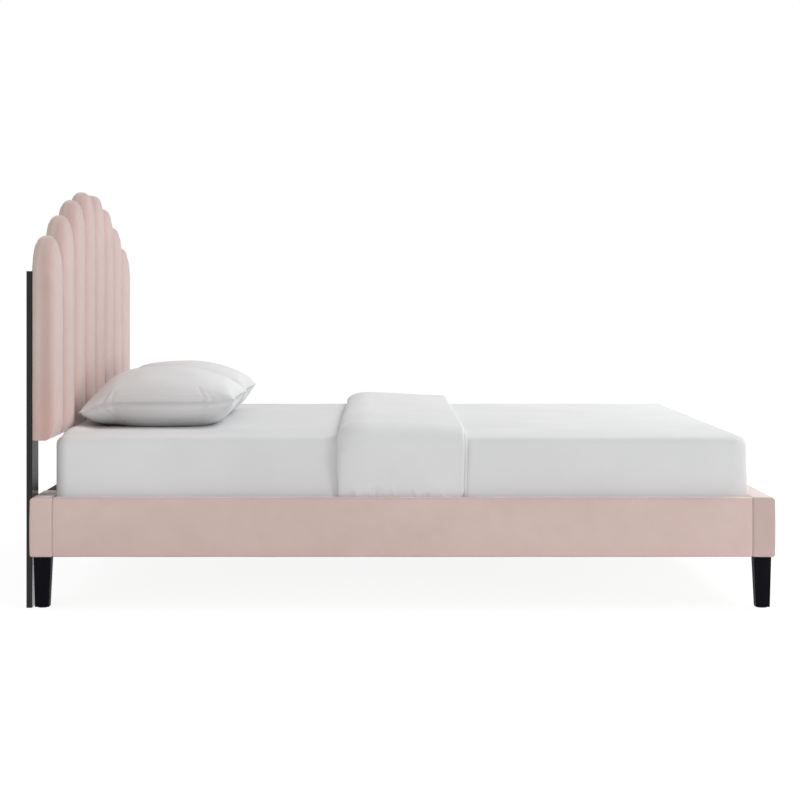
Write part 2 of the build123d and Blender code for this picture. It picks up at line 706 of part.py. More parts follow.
# Mattress, and the fitted sheet drawn over it down to a hem at its lower edge.
sheet_edge = MATTRESS_EDGE + SHEET_THICKNESS
with BuildPart() as mattress:
    with BuildSketch(Plane.XY.offset(slat_top)):
        with Locations((mattress_middle, 0)):
            RectangleRounded(MATTRESS_LENGTH, MATTRESS_WIDTH, MATTRESS_CORNER)
    extrude(amount=MATTRESS_HEIGHT)
    fillet(mattress.edges().group_by(Axis.Z)[0], MATTRESS_EDGE)
    fillet(mattress.edges().group_by(Axis.Z)[-1], MATTRESS_EDGE)
hand_over(mattress, "mattress")

with BuildPart() as fitted_sheet:
    with BuildSketch(Plane.XY.offset(slat_top - SHEET_THICKNESS)):
        with Locations((mattress_middle, 0)):
            RectangleRounded(
                MATTRESS_LENGTH + 2 * SHEET_THICKNESS,
                MATTRESS_WIDTH + 2 * SHEET_THICKNESS,
                MATTRESS_CORNER + SHEET_THICKNESS,
            )
    extrude(amount=MATTRESS_HEIGHT + 2 * SHEET_THICKNESS)
    fillet(fitted_sheet.edges().group_by(Axis.Z)[0], sheet_edge)
    fillet(fitted_sheet.edges().group_by(Axis.Z)[-1], sheet_edge)
    split(bisect_by=Plane.XY.offset(slat_top + SHEET_HEM_LIFT))
    add(mattress.part, mode=Mode.SUBTRACT)
hand_over(fitted_sheet, "fitted_sheet")

# Pillows: crowned, flat where they lie on the sheet, with their long sides drawn in between
# the corners. The seam runs round them at mid height, lower at the head.
pillow_head = headboard_back + channel_depth + PILLOW_HEAD_GAP
pillow_middle = pillow_head + PILLOW_WIDTH / 2
pillow_rise = (PILLOW_SEAM_FOOT - PILLOW_SEAM_HEAD) / 2
pillow_seam = sheet_top + PILLOW_SEAM_HEAD + pillow_rise
pillow_crown = sheet_top + PILLOW_HEIGHT


def pillow_section(station):
    """A pillow's section across its width, at a station from -1 to 1 along its length."""
    fullness = max((1 - abs(station) ** PILLOW_END_POWER) ** 0.5, PILLOW_END_FULLNESS)
    half = PILLOW_WIDTH / 2 - PILLOW_DRAW * (1 - station**2)
    flat = PILLOW_CONTACT / 2 / half
    turn = (1 + flat) / 2

    def upper(share):
        swell = fullness * (1 - abs(share) ** PILLOW_TOP_POWER) ** 0.5
        seam = pillow_seam + share * pillow_rise
        return (pillow_middle + share * half, seam + swell * (pillow_crown - pillow_seam))

    def lower(share):
        swell = fullness * min((1 - abs(share)) / (1 - flat), 1) ** PILLOW_UNDER_POWER
        seam = pillow_seam + share * pillow_rise
        return (pillow_middle + share * half, seam - swell * (seam - sheet_top))

    with BuildLine() as outline:
        ThreePointArc(upper(-1), upper(-PILLOW_SHOULDER_TURN), upper(-PILLOW_SHOULDER))
        ThreePointArc(upper(-PILLOW_SHOULDER), upper(0), upper(PILLOW_SHOULDER))
        ThreePointArc(upper(PILLOW_SHOULDER), upper(PILLOW_SHOULDER_TURN), upper(1))
        ThreePointArc(lower(1), lower(turn), lower(flat))
        Line(lower(flat), lower(-flat))
        ThreePointArc(lower(-flat), lower(-turn), lower(-1))
    make_face(outline.edges())


for name, side in SIDES.items():
    with BuildPart() as pillow:
        pillow_row = side * (PILLOW_MIDDLE_GAP + PILLOW_LENGTH / 2)
        for station in PILLOW_STATIONS:
            with BuildSketch(Plane.XZ.offset(-pillow_row - station * PILLOW_LENGTH / 2)):
                pillow_section(station)
        loft()
        # The short ends are drawn in between their corners too
        for end in (-1, 1):
            with BuildSketch(Plane.XY.offset(sheet_top)):
                with BuildLine():
                    end_row = pillow_row + end * PILLOW_LENGTH / 2
                    tips = [(pillow_middle + share * PILLOW_WIDTH / 2, end_row) for share in (-1, 1)]
                    Line(tips[0], tips[1])
                    ThreePointArc(tips[0], (pillow_middle, end_row - end * PILLOW_DRAW), tips[1])
                make_face()
            extrude(amount=PILLOW_HEIGHT, mode=Mode.SUBTRACT)
    hand_over(pillow, f"pillow_{name}")

# Folded cover: one cover folded double, with the round fold to the head and the two edges to
# the foot. It lies across the mattress, bends over the sheet's edge and hangs down both sides
# to the rails, thinning.
cover_half = MATTRESS_WIDTH / 2 + SHEET_THICKNESS + COVER_SIDE_GAP
cover_hem = rail_top + COVER_HEM_LIFT
cover_bend_row = cover_half - sheet_edge
cover_bend_base = sheet_top - sheet_edge


def cover_outline(share):
    """The folded cover's section (along the bed, out from the mattress), thinned to a share."""
    fold = COVER_HEAD_THICKNESS / 2 * share
    edge = COVER_FOOT_THICKNESS / 4 * share
    gap = COVER_FOLD_GAP * share
    head = COVER_HEAD_X
    foot = head + COVER_WIDTH
    top_foot = foot - COVER_STEP
    with BuildLine() as outline:
        Line((head + fold, 0), (foot - edge, 0))
        ThreePointArc((foot - edge, 0), (foot, edge), (foot - edge, 2 * edge))
        Line((foot - edge, 2 * edge), (head + fold, fold - gap / 2))
        Line((head + fold, fold - gap / 2), (head + fold, fold + gap / 2))
        Line((head + fold, fold + gap / 2), (top_foot - edge, 2 * edge + gap))
        ThreePointArc(
            (top_foot - edge, 2 * edge + gap),
            (top_foot, 3 * edge + gap),
            (top_foot - edge, 4 * edge + gap),
        )
        Line((top_foot - edge, 4 * edge + gap), (head + fold, 2 * fold))
        ThreePointArc((head + fold, 2 * fold), (head, fold), (head + fold, 0))
    make_face(outline.edges())


with BuildPart() as folded_cover:
    with BuildSketch(Plane((0, 0, sheet_top), x_dir=(1, 0, 0), z_dir=(0, -1, 0))):
        cover_outline(1)
    extrude(amount=cover_bend_row, both=True)
    for side in SIDES.values():
        upright = Plane((0, side * cover_bend_row, sheet_top), x_dir=(1, 0, 0), z_dir=(0, -1, 0))
        with BuildSketch(upright):
            cover_outline(1)
        bend_axis = Axis((0, side * cover_bend_row, cover_bend_base), (-side, 0, 0))
        revolve(axis=bend_axis, revolution_arc=90)
        bend_end = Plane((0, side * cover_half, cover_bend_base), x_dir=(1, 0, 0), z_dir=(0, 0, side))
        hem_end = Plane((0, side * cover_half, cover_hem), x_dir=(1, 0, 0), z_dir=(0, 0, side))
        with BuildSketch(bend_end):
            cover_outline(1)
        with BuildSketch(hem_end):
            cover_outline(COVER_HEM_SHARE)
        loft(ruled=True)
hand_over(folded_cover, "folded_cover")
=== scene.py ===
"""A king-size platform bed, dressed over its measured frame: velvet rails and a scalloped
headboard of padded channels, a mattress in its sheet, two pillows and a folded cover.
Metres. X runs from the head to the foot, Y across the bed, Z up from the floor."""

import math

import bmesh
import bpy
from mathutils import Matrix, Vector, noise


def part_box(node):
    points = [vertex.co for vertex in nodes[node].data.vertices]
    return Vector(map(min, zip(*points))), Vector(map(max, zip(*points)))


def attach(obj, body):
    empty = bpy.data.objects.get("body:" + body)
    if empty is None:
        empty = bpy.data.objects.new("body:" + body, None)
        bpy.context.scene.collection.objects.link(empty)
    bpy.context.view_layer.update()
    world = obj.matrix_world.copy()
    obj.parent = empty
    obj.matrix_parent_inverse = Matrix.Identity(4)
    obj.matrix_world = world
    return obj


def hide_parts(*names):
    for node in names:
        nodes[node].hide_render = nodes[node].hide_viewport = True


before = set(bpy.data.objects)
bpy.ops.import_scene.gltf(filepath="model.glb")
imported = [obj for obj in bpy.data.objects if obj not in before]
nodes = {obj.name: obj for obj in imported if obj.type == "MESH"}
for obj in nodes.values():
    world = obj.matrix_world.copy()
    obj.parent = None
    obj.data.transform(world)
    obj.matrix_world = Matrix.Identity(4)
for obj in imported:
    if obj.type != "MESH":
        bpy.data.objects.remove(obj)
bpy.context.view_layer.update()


# Wooden frame: planed pine rail cores and ledger strips, screwed and glued together, and
# the birch plywood panel that the headboard is built on. All of it is left unfinished.
SIDES = {"right": -1, "left": 1}


def new_finish(name, roughness, settings=None):
    """A new material with its shader's settings, its node tree and its shader."""
    material = bpy.data.materials.new(name)
    material.use_nodes = True
    shader = material.node_tree.nodes["Principled BSDF"]
    shader.inputs["Roughness"].default_value = roughness
    for socket, value in (settings or {}).items():
        shader.inputs[socket].default_value = value
    return material, material.node_tree, shader


def add_node(tree, kind, inputs=None, **settings):
    """Add a node, set its options, and link or set its inputs."""
    made = tree.nodes.new(kind)
    for option, value in settings.items():
        setattr(made, option, value)
    for socket, value in (inputs or {}).items():
        if isinstance(value, bpy.types.NodeSocket):
            tree.links.new(value, made.inputs[socket])
        else:
            made.inputs[socket].default_value = value
    return made


def on_piece(tree, scale=(1, 1, 1)):
    """Places on the piece itself, in metres times scale."""
    coords = add_node(tree, "ShaderNodeTexCoord").outputs["Object"]
    mapping = add_node(tree, "ShaderNodeMapping", {"Vector": coords, "Scale": scale})
    return mapping.outputs["Vector"]


def cloudy(tree, where, scale=1.0, detail=3.0, roughness=0.5, twist=0.0):
    """A soft random pattern between 0 and 1."""
    inputs = {"Vector": where, "Scale": scale, "Detail": detail, "Roughness": roughness}
    inputs["Distortion"] = twist
    return add_node(tree, "ShaderNodeTexNoise", inputs).outputs["Fac"]


def worked(tree, operation, first, second):
    """The result of a sum on two patterns or numbers."""
    return add_node(tree, "ShaderNodeMath", {0: first, 1: second}, operation=operation).outputs[0]


def blended(tree, *parts):
    """The sum of patterns, each times its weight."""
    total = None
    for pattern, weight in parts:
        part = pattern if weight == 1 else worked(tree, "MULTIPLY", pattern, weight)
        total = part if total is None else worked(tree, "ADD", total, part)
    return total


def ramped(tree, share, *tones):
    """A colour that goes from tone to tone, each at its place, as a pattern rises."""
    ramp = add_node(tree, "ShaderNodeValToRGB", {"Fac": share})
    while len(ramp.color_ramp.elements) < len(tones):
        ramp.color_ramp.elements.new(1.0)
    for element, (place, tone) in zip(ramp.color_ramp.elements, tones):
        element.position = place
        element.color = (*tone, 1)
    return ramp.outputs["Color"]


def paint(tree, shader, share, tones, low=0.3, high=0.7):
    """Colour a finish from its dark to its light tone by a pattern."""
    colour = ramped(tree, share, (low, tones[0]), (high, tones[1]))
    tree.links.new(colour, shader.inputs["Base Color"])


def ranged(tree, share, low, high):
    """A pattern of 0 to 1 brought to another range."""
    span = {"Value": share, "To Min": low, "To Max": high}
    return add_node(tree, "ShaderNodeMapRange", span).outputs[0]


def emboss(tree, shader, height, depth):
    """Raise the surface by a pattern, up to a depth in metres."""
    bump = add_node(tree, "ShaderNodeBump", {"Height": height, "Distance": depth})
    tree.links.new(bump.outputs["Normal"], shader.inputs["Normal"])


def timber(name, tones, along):
    """Planed wood with its grain along X, Y or Z."""
    material, tree, shader = new_finish(name, 0.62)
    wide = [1.3 if axis == along else 26.0 for axis in "XYZ"]
    narrow = [7.0 if axis == along else 330.0 for axis in "XYZ"]
    bands = cloudy(tree, on_piece(tree, wide), 1.0, 5.0, 0.62, 0.6)
    pores = cloudy(tree, on_piece(tree, narrow), 1.0, 2.0)
    grain = blended(tree, (bands, 0.75), (pores, 0.25))
    paint(tree, shader, grain, tones, 0.36, 0.64)
    tree.links.new(ranged(tree, pores, 0.52, 0.74), shader.inputs["Roughness"])
    emboss(tree, shader, grain, 0.0004)
    return material


def dress(material, *names):
    """Give carried-over nodes their finish."""
    for name in names:
        for slot in nodes[name].material_slots:
            slot.material = material


PINE_TONES = ((0.47, 0.29, 0.145), (0.70, 0.52, 0.32))
BIRCH_TONES = ((0.58, 0.42, 0.25), (0.74, 0.60, 0.41))
pine_lengthwise = timber("pine_lengthwise", PINE_TONES, "X")
for side in SIDES:
    dress(pine_lengthwise, f"side_rail_core_{side}", f"side_ledger_{side}")
dress(timber("pine_crosswise", PINE_TONES, "Y"), "head_rail_core", "foot_rail_core")
dress(timber("birch_panel", BIRCH_TONES, "Y"), "headboard_panel")


# Slats: thirteen poplar boards across the ledgers, planed and eased along their edges. Two
# woven straps stapled under them keep their spacing.
POPLAR_TONES = ((0.62, 0.46, 0.29), (0.80, 0.66, 0.47))
slat_names = sorted(name for name in nodes if name.startswith("slat_") and name != "slat_straps")
dress(timber("poplar", POPLAR_TONES, "Y"), *slat_names)


def thread_waves(tree, thread):
    """The threads along X, Y and Z as waves, at a spacing in metres."""
    turns = 2 * math.pi / thread
    place = add_node(tree, "ShaderNodeSeparateXYZ", {"Vector": on_piece(tree, (turns, turns, turns))})
    sines = [add_node(tree, "ShaderNodeMath", {0: part}, operation="SINE") for part in place.outputs]
    return [sine.outputs[0] for sine in sines]


def woven(name, tones, thread, relief, roughness=0.9):
    """Plain-woven cloth with threads at a spacing in metres."""
    material, tree, shader = new_finish(name, roughness)
    along, across, upright = thread_waves(tree, thread)
    flat_weave = worked(tree, "MULTIPLY", along, across)
    side_weave = worked(tree, "MULTIPLY", upright, worked(tree, "ADD", along, across))
    weave = blended(tree, (flat_weave, 0.5), (side_weave, 0.35))
    slubs = cloudy(tree, on_piece(tree), 38.0, 4.0)
    shade = blended(tree, (weave, 0.22), (slubs, 1))
    paint(tree, shader, shade, tones, 0.3, 0.72)
    emboss(tree, shader, weave, relief)
    return material


STRAP_TONES = ((0.66, 0.66, 0.64), (0.80, 0.80, 0.78))
STRAP_THREAD = 0.0022
dress(woven("strap_cloth", STRAP_TONES, STRAP_THREAD, 0.0003), "slat_straps")


# Steel fittings: the corner brackets, the box-section centre beam and its two hangers are
# folded or drawn steel, powder-coated black, with the coat's fine orange-peel surface.
COAT_TONES = ((0.022, 0.022, 0.024), (0.034, 0.034, 0.036))
powder_coat, tree, shader = new_finish("powder_coat", 0.48)
peel = cloudy(tree, on_piece(tree), 950.0, 2.0)
coat_depth = cloudy(tree, on_piece(tree), 24.0, 4.0)
paint(tree, shader, coat_depth, COAT_TONES)
tree.links.new(ranged(tree, peel, 0.42, 0.56), shader.inputs["Roughness"])
emboss(tree, shader, peel, 0.00012)
dress(powder_coat, "corner_brackets", "centre_beam", "beam_hangers")


# Fasteners: turned or pressed steel bolts, washers, tee nuts and inserts, zinc-plated, a
# little cloudy where the plating has dulled.
ZINC_TONES = ((0.50, 0.50, 0.51), (0.70, 0.70, 0.71))
zinc_plate, tree, shader = new_finish("zinc_plate", 0.34, {"Metallic": 1.0})
spangle = cloudy(tree, on_piece(tree), 260.0, 4.0, 0.6)
paint(tree, shader, spangle, ZINC_TONES)
tree.links.new(ranged(tree, spangle, 0.26, 0.46), shader.inputs["Roughness"])
dress(
    zinc_plate, "headboard_bolts", "strut_rail_bolts", "strut_washers", "headboard_tee_nuts",
    "rail_tee_nuts", "corner_bolts", "leg_hanger_bolts", "leg_inserts",
)


# Legs and struts: solid rubberwood, tapered or squared, stained black and lacquered, so that
# a faint grain shows in the sheen. Each leg stands on a black plastic glide.
LEG_TONES = ((0.0050, 0.0046, 0.0072), (0.0080, 0.0074, 0.0108))
STRUT_TONES = ((0.003, 0.003, 0.0032), (0.005, 0.005, 0.0053))
GLIDE_TONES = ((0.02, 0.02, 0.02), (0.045, 0.045, 0.045))


def black_lacquer(name, tones, roughness, gloss):
    """Black stain and lacquer over wood with upright grain."""
    material, tree, shader = new_finish(name, roughness, {"Specular IOR Level": gloss})
    fibres = cloudy(tree, on_piece(tree, (420.0, 420.0, 10.0)), 1.0, 3.0, 0.6)
    stain = cloudy(tree, on_piece(tree, (30.0, 30.0, 3.0)), 1.0, 4.0)
    paint(tree, shader, stain, tones)
    worn = ranged(tree, fibres, roughness - 0.05, roughness + 0.07)
    tree.links.new(worn, shader.inputs["Roughness"])
    emboss(tree, shader, fibres, 0.00012)
    return material


leg_lacquer = black_lacquer("leg_lacquer", LEG_TONES, roughness=0.5, gloss=0.03)
strut_lacquer = black_lacquer("strut_lacquer", STRUT_TONES, roughness=0.18, gloss=0.35)
dress(leg_lacquer, *(f"leg_{end}_{side}" for end in ("head", "foot") for side in SIDES))
dress(strut_lacquer, *(f"headboard_strut_{side}" for side in SIDES))

glide_plastic, tree, shader = new_finish("glide_plastic", 0.6)
scuffs = cloudy(tree, on_piece(tree), 180.0, 5.0, 0.7)
paint(tree, shader, scuffs, GLIDE_TONES)
emboss(tree, shader, scuffs, 0.0002)
dress(glide_plastic, "leg_glides")


# Rail covers: blush velvet over thin wadding, wrapped round each rail core and stapled out of
# sight. The end rails' covers close round the rails' ends, and the side rails' covers butt
# between them and end in a flap inside the bed.
VELVET_TONES = ((0.630, 0.484, 0.446), (0.692, 0.543, 0.503))
VELVET_SHEEN = {
    "Specular IOR Level": 0.15,
    "Sheen Weight": 1.0,
    "Sheen Roughness": 0.28,
    "Sheen Tint": (1.0, 0.97, 0.97, 1),
}
VELVET = 0.0015
RAIL_CROWN = 0.001
RAIL_EDGE = 0.011
LOWER_EDGE = 0.0065
INNER_EDGE = 0.0065
END_ROLL = 0.006
CAP_RINGS = ((0.93, 0.0003), (0.75, 0.0004), (0.6, 0.0002))
FLAP_DROP = 0.010
FLAP_ROOM = 0.003
JOINT_GAP = 0.0004
PADDING_WAVE = (0.16, 0.0005)
RAIL_GRID = 0.022
TOUCHING = 0.00001


def velvet_cloth(name, tint=None):
    """Short-piled velvet, brushed unevenly; tint(tree, colour) may paint shade on it."""
    material, tree, shader = new_finish(name, 0.88, VELVET_SHEEN)
    brushed = cloudy(tree, on_piece(tree, (2.2, 2.2, 3.6)), 1.0, 3.0, 0.55, 0.5)
    crushed = cloudy(tree, on_piece(tree), 21.0, 4.0, 0.6)
    pile = cloudy(tree, on_piece(tree), 1400.0, 2.0)
    nap = blended(tree, (brushed, 0.62), (crushed, 0.28), (pile, 0.10))
    colour = ramped(tree, nap, (0.36, VELVET_TONES[0]), (0.66, VELVET_TONES[1]))
    tree.links.new(tint(tree, colour) if tint else colour, shader.inputs["Base Color"])
    emboss(tree, shader, blended(tree, (pile, 0.35), (crushed, 1)), 0.0006)
    return material


def paint_shade_steps(tree, colour, axis, start, end, tones):
    """The velvet's colour with shade painted on in steps along one of the bed's axes."""
    place = add_node(tree, "ShaderNodeSeparateXYZ", {"Vector": on_piece(tree)})
    span = {"Value": place.outputs[axis], "From Min": start, "From Max": end}
    share = add_node(tree, "ShaderNodeMapRange", span).outputs[0]
    mix = add_node(tree, "ShaderNodeMix", {"Factor": 1.0}, data_type="RGBA", blend_type="MULTIPLY")
    first, second = (socket for socket in mix.inputs if socket.type == "RGBA")
    tree.links.new(colour, first)
    tree.links.new(ramped(tree, share, *tones), second)
    return next(socket for socket in mix.outputs if socket.type == "RGBA")


velvet = velvet_cloth("velvet")


def begin(name):
    """Name the primitive that was just added and open it for editing."""
    piece = bpy.context.object
    piece.name = name
    piece.data.name = name
    bpy.ops.object.mode_set(mode="EDIT")
    bpy.ops.mesh.select_mode(type="VERT")
    return piece


def merge_doubles():
    """Merge the points of the piece being edited that touch."""
    bpy.ops.mesh.select_all(action="SELECT")
    bpy.ops.mesh.remove_doubles(threshold=TOUCHING)


def leave():
    """Close the piece being edited, with its doubles merged and its faces outwards."""
    merge_doubles()
    bpy.ops.mesh.normals_make_consistent(inside=False)
    bpy.ops.object.mode_set(mode="OBJECT")


def draw_line(name, points):
    """Open a new piece with one line drawn through points."""
    bpy.ops.object.select_all(action="DESELECT")
    bpy.ops.mesh.primitive_plane_add(size=0.001)
    piece = begin(name)
    bpy.ops.mesh.merge(type="CENTER")
    bpy.ops.transform.translate(value=points[0])
    for here, there in zip(points, points[1:]):
        bpy.ops.mesh.extrude_vertices_move(TRANSFORM_OT_translate={"value": there - here})
    bpy.ops.mesh.select_all(action="SELECT")
    return piece


def carry(step):
    """Extrude what is selected by one step."""
    bpy.ops.mesh.extrude_region_move(TRANSFORM_OT_translate={"value": step})


def pick_edges(piece, test):
    """Select the edges of the piece being edited whose two ends pass a test."""
    bpy.ops.mesh.select_mode(type="EDGE")
    bpy.ops.mesh.select_all(action="DESELECT")
    shape = bmesh.from_edit_mesh(piece.data)
    for edge in shape.edges:
        edge.select_set(all(test(vertex.co) for vertex in edge.verts))
    bmesh.update_edit_mesh(piece.data)


def reshape(piece, shift):
    """Move each point of a piece to where shift(place, normal) says."""
    points = [(vertex.co.copy(), vertex.normal.copy()) for vertex in piece.data.vertices]
    for vertex, (place, normal) in zip(piece.data.vertices, points):
        vertex.co = shift(place, normal)
    piece.data.update()


def choose(piece):
    """Select one piece alone."""
    bpy.ops.object.select_all(action="DESELECT")
    piece.select_set(True)
    bpy.context.view_layer.objects.active = piece


def finish_with(piece, kind, **settings):
    """Put one modifier on a piece and apply it."""
    choose(piece)
    modifier = piece.modifiers.new(kind.title(), kind)
    for option, value in settings.items():
        setattr(modifier, option, value)
    bpy.ops.object.modifier_apply(modifier=modifier.name)


def stuffing(place, *waves):
    """How far uneven stuffing pushes the cloth out at a place, by waves of a length and height."""
    return sum(height * noise.noise(place / length) for length, height in waves)


def place_piece(piece, material, body):
    """Give a piece its finish, smooth faces and the body that it rides on."""
    piece.data.materials.clear()
    piece.data.materials.append(material)
    piece.data.shade_smooth()
    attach(piece, body)


def arc(centre, radius, start, end, steps):
    """Points on an arc about a centre, between two angles in degrees."""
    angles = [math.radians(start + (end - start) * i / steps) for i in range(steps + 1)]
    return [(centre[0] + radius * math.cos(a), centre[1] + radius * math.sin(a)) for a in angles]


def wrap_path(inner, outer, base, top, flap=None):
    """The velvet's way round a rail: along the underside, up the outside, over and down the
    inside to a flap, or right round where no flap is given."""
    shoulder = outer - RAIL_CROWN
    face_low = base + LOWER_EDGE
    face_high = top - RAIL_EDGE
    start = inner + (VELVET if flap else LOWER_EDGE)
    path = [(start + (shoulder - LOWER_EDGE - start) * i / 3, base) for i in range(3)]
    path += arc((shoulder - LOWER_EDGE, face_low), LOWER_EDGE, -90, 0, 5)
    for i in range(1, 12):
        share = i / 12
        bulge = RAIL_CROWN * (1 - (2 * share - 1) ** 2)
        path.append((shoulder + bulge, face_low + (face_high - face_low) * share))
    path += arc((shoulder - RAIL_EDGE, face_high), RAIL_EDGE, 0, 90, 7)
    path += arc((inner + INNER_EDGE, top - INNER_EDGE), INNER_EDGE, 90, 180, 5)
    inside_base = flap or face_low
    path += [(inner, top - INNER_EDGE + (inside_base - top + INNER_EDGE) * i / 3) for i in range(1, 4)]
    if not flap:
        path += arc((inner + LOWER_EDGE, face_low), LOWER_EDGE, 180, 270, 5)[1:]
    return path


def stations(start, end):
    """Places along a rail: even in the middle and close together where the ends roll in."""
    sign = 1 if end > start else -1
    close = [END_ROLL * share for share in (0.0, 0.06, 0.2, 0.42, 0.7, 1.0)]
    length = abs(end - start)
    count = max(2, round((length - 2 * END_ROLL) / RAIL_GRID))
    even = [END_ROLL + (length - 2 * END_ROLL) * i / count for i in range(1, count)]
    places = close + even + [length - place for place in reversed(close)]
    return [start + sign * place for place in places]


def cap_end(piece, along, end):
    """Close a cover round the end of its rail, with the cap a little full in the middle."""
    bpy.ops.object.mode_set(mode="EDIT")
    pick_edges(piece, lambda place: abs(place @ along - end) < TOUCHING)
    shape = bmesh.from_edit_mesh(piece.data)
    ring = [vertex.co for vertex in shape.verts if vertex.select]
    middle = sum(ring, Vector()) / len(ring)
    outward = along * math.copysign(1, end)
    for share, rise in CAP_RINGS:
        carry(outward * rise)
        bpy.ops.transform.resize(value=(share, share, share), center_override=middle)
    bpy.ops.mesh.edge_face_add()
    leave()


def wrap_rail(name, path, spot, places, rolled_ends, capped=True, cloth=velvet):
    """Velvet carried along a rail, rolled in at its ends and capped there or left open.
    spot(out, up, along) places a point of its section."""
    line = [spot(out, up, places[0]) for out, up in path]
    piece = draw_line(name, line)
    for here, there in zip(places, places[1:]):
        carry(spot(0, 0, there) - spot(0, 0, here))
    leave()
    along = spot(0, 0, 1) - spot(0, 0, 0)

    def uneven(place, normal):
        gap = min(abs(place @ along - end) for end in rolled_ends)
        inward = 0.0
        if gap < END_ROLL:
            inward = END_ROLL - math.sqrt(END_ROLL**2 - (END_ROLL - gap) ** 2)
        return place + normal * (stuffing(place, PADDING_WAVE) - inward)

    reshape(piece, uneven)
    for end in rolled_ends if capped else ():
        cap_end(piece, along, end)
    finish_with(piece, "SOLIDIFY", thickness=VELVET, offset=-1)
    place_piece(piece, cloth, "bed_frame")
    return piece


def block(name, low, high):
    """A plain box between two corners, for cutting with."""
    bpy.ops.object.select_all(action="DESELECT")
    bpy.ops.mesh.primitive_cube_add(size=1)
    piece = begin(name)
    bpy.ops.transform.resize(value=high - low)
    bpy.ops.transform.translate(value=(low + high) / 2)
    bpy.ops.object.mode_set(mode="OBJECT")
    return piece


def cut_away(piece, tool):
    """Cut a tool's shape out of a piece and throw the tool away."""
    finish_with(piece, "BOOLEAN", object=tool, operation="DIFFERENCE", solver="EXACT")
    bpy.data.objects.remove(tool)


def trim_flap(piece, inner, base):
    """Trim an end rail's inside flap between the side rails, to leave the fittings clear."""
    low = Vector((inner - FLAP_ROOM, -side_inner, base + FLAP_ROOM))
    high = Vector((inner + FLAP_ROOM, side_inner, flap_base))
    cut_away(piece, block("flap_room", low, high))


flap_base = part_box("slat_01")[1].z - FLAP_DROP
side_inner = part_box("side_rail_velvet_left")[0].y
foot_low, foot_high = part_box("foot_rail_velvet")
head_low, head_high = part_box("head_rail_velvet")
half_width = foot_high.y
UNSHADED = (1.0, 1.0, 1.0)
# Painted shade: the foot rail's velvet is painted darker where it turns round the rail's two ends.
END_SHADE_TONE = (0.85, 0.85, 0.855)
END_SHADE_STEPS = (
    (0.0, END_SHADE_TONE),
    (0.004, END_SHADE_TONE),
    (0.016, UNSHADED),
    (0.984, UNSHADED),
    (0.996, END_SHADE_TONE),
)


def foot_end_shade(tree, colour):
    """Painted shade on the foot rail's velvet, darker where it goes round the rail's two ends."""
    return paint_shade_steps(tree, colour, "Y", -half_width, half_width, END_SHADE_STEPS)


foot_path = wrap_path(foot_low.x, foot_high.x, foot_low.z, foot_high.z)
foot_rail = wrap_rail(
    "foot_rail_cover", foot_path, lambda out, up, along: Vector((out, along, up)),
    stations(-half_width, half_width), (-half_width, half_width),
    cloth=velvet_cloth("foot_velvet", foot_end_shade),
)
trim_flap(foot_rail, foot_low.x, foot_low.z)
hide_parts("foot_rail_velvet")

HEAD_COVER_LENGTH = 0.242
STRUT_FIT = Vector((0.0005, 0.0005, 0.0005))
head_path = wrap_path(-head_high.x, -head_low.x, head_low.z, head_high.z)

for side, sign in SIDES.items():
    end = sign * half_width
    inner_end = end - sign * HEAD_COVER_LENGTH
    head_rail = wrap_rail(
        f"head_rail_cover_{side}", head_path, lambda out, up, along: Vector((-out, along, up)),
        stations(end, inner_end), (end,),
    )
    strut_low, strut_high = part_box(f"headboard_strut_{side}")
    cut_away(head_rail, block("strut_room", strut_low - STRUT_FIT, strut_high + STRUT_FIT))
    trim_flap(head_rail, head_high.x, head_low.z)
    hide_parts("head_rail_velvet")

for side, sign in SIDES.items():
    low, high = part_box(f"side_rail_velvet_{side}")
    side_path = wrap_path(side_inner, half_width, low.z, high.z, flap_base)
    start, end = low.x + JOINT_GAP, high.x - JOINT_GAP
    side_rail = wrap_rail(
        f"side_rail_cover_{side}", side_path, lambda out, up, along: Vector((along, sign * out, up)),
        stations(start, end), (start, end), capped=False,
    )
    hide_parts(f"side_rail_velvet_{side}")


# Dust covers: thin black cloth stapled over the middle of the head rail, where the
# mattress hides it, and over the back of the headboard panel.
DUST_TONES = ((0.026, 0.026, 0.028), (0.052, 0.052, 0.055))
DUST_THREAD = 0.0016
dust_cloth = woven("dust_cloth", DUST_TONES, DUST_THREAD, 0.0002, roughness=0.95)


def linked(name, mesh):
    """A new piece with its own copy of a mesh."""
    piece = bpy.data.objects.new(name, mesh.copy())
    bpy.context.scene.collection.objects.link(piece)
    return piece


def tight_cloth(name, node):
    """Thin cloth stretched flat over wood and stapled round its edge: its node, merged."""
    piece = linked(name, nodes[node].data)
    choose(piece)
    bpy.ops.object.mode_set(mode="EDIT")
    merge_doubles()
    bpy.ops.object.mode_set(mode="OBJECT")
    place_piece(piece, dust_cloth, "bed_frame")
    piece.data.shade_flat()
    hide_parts(node)


tight_cloth("head_rail_dust_cloth", "head_rail_dust_cover")
tight_cloth("headboard_back_cloth", "headboard_back_cover")


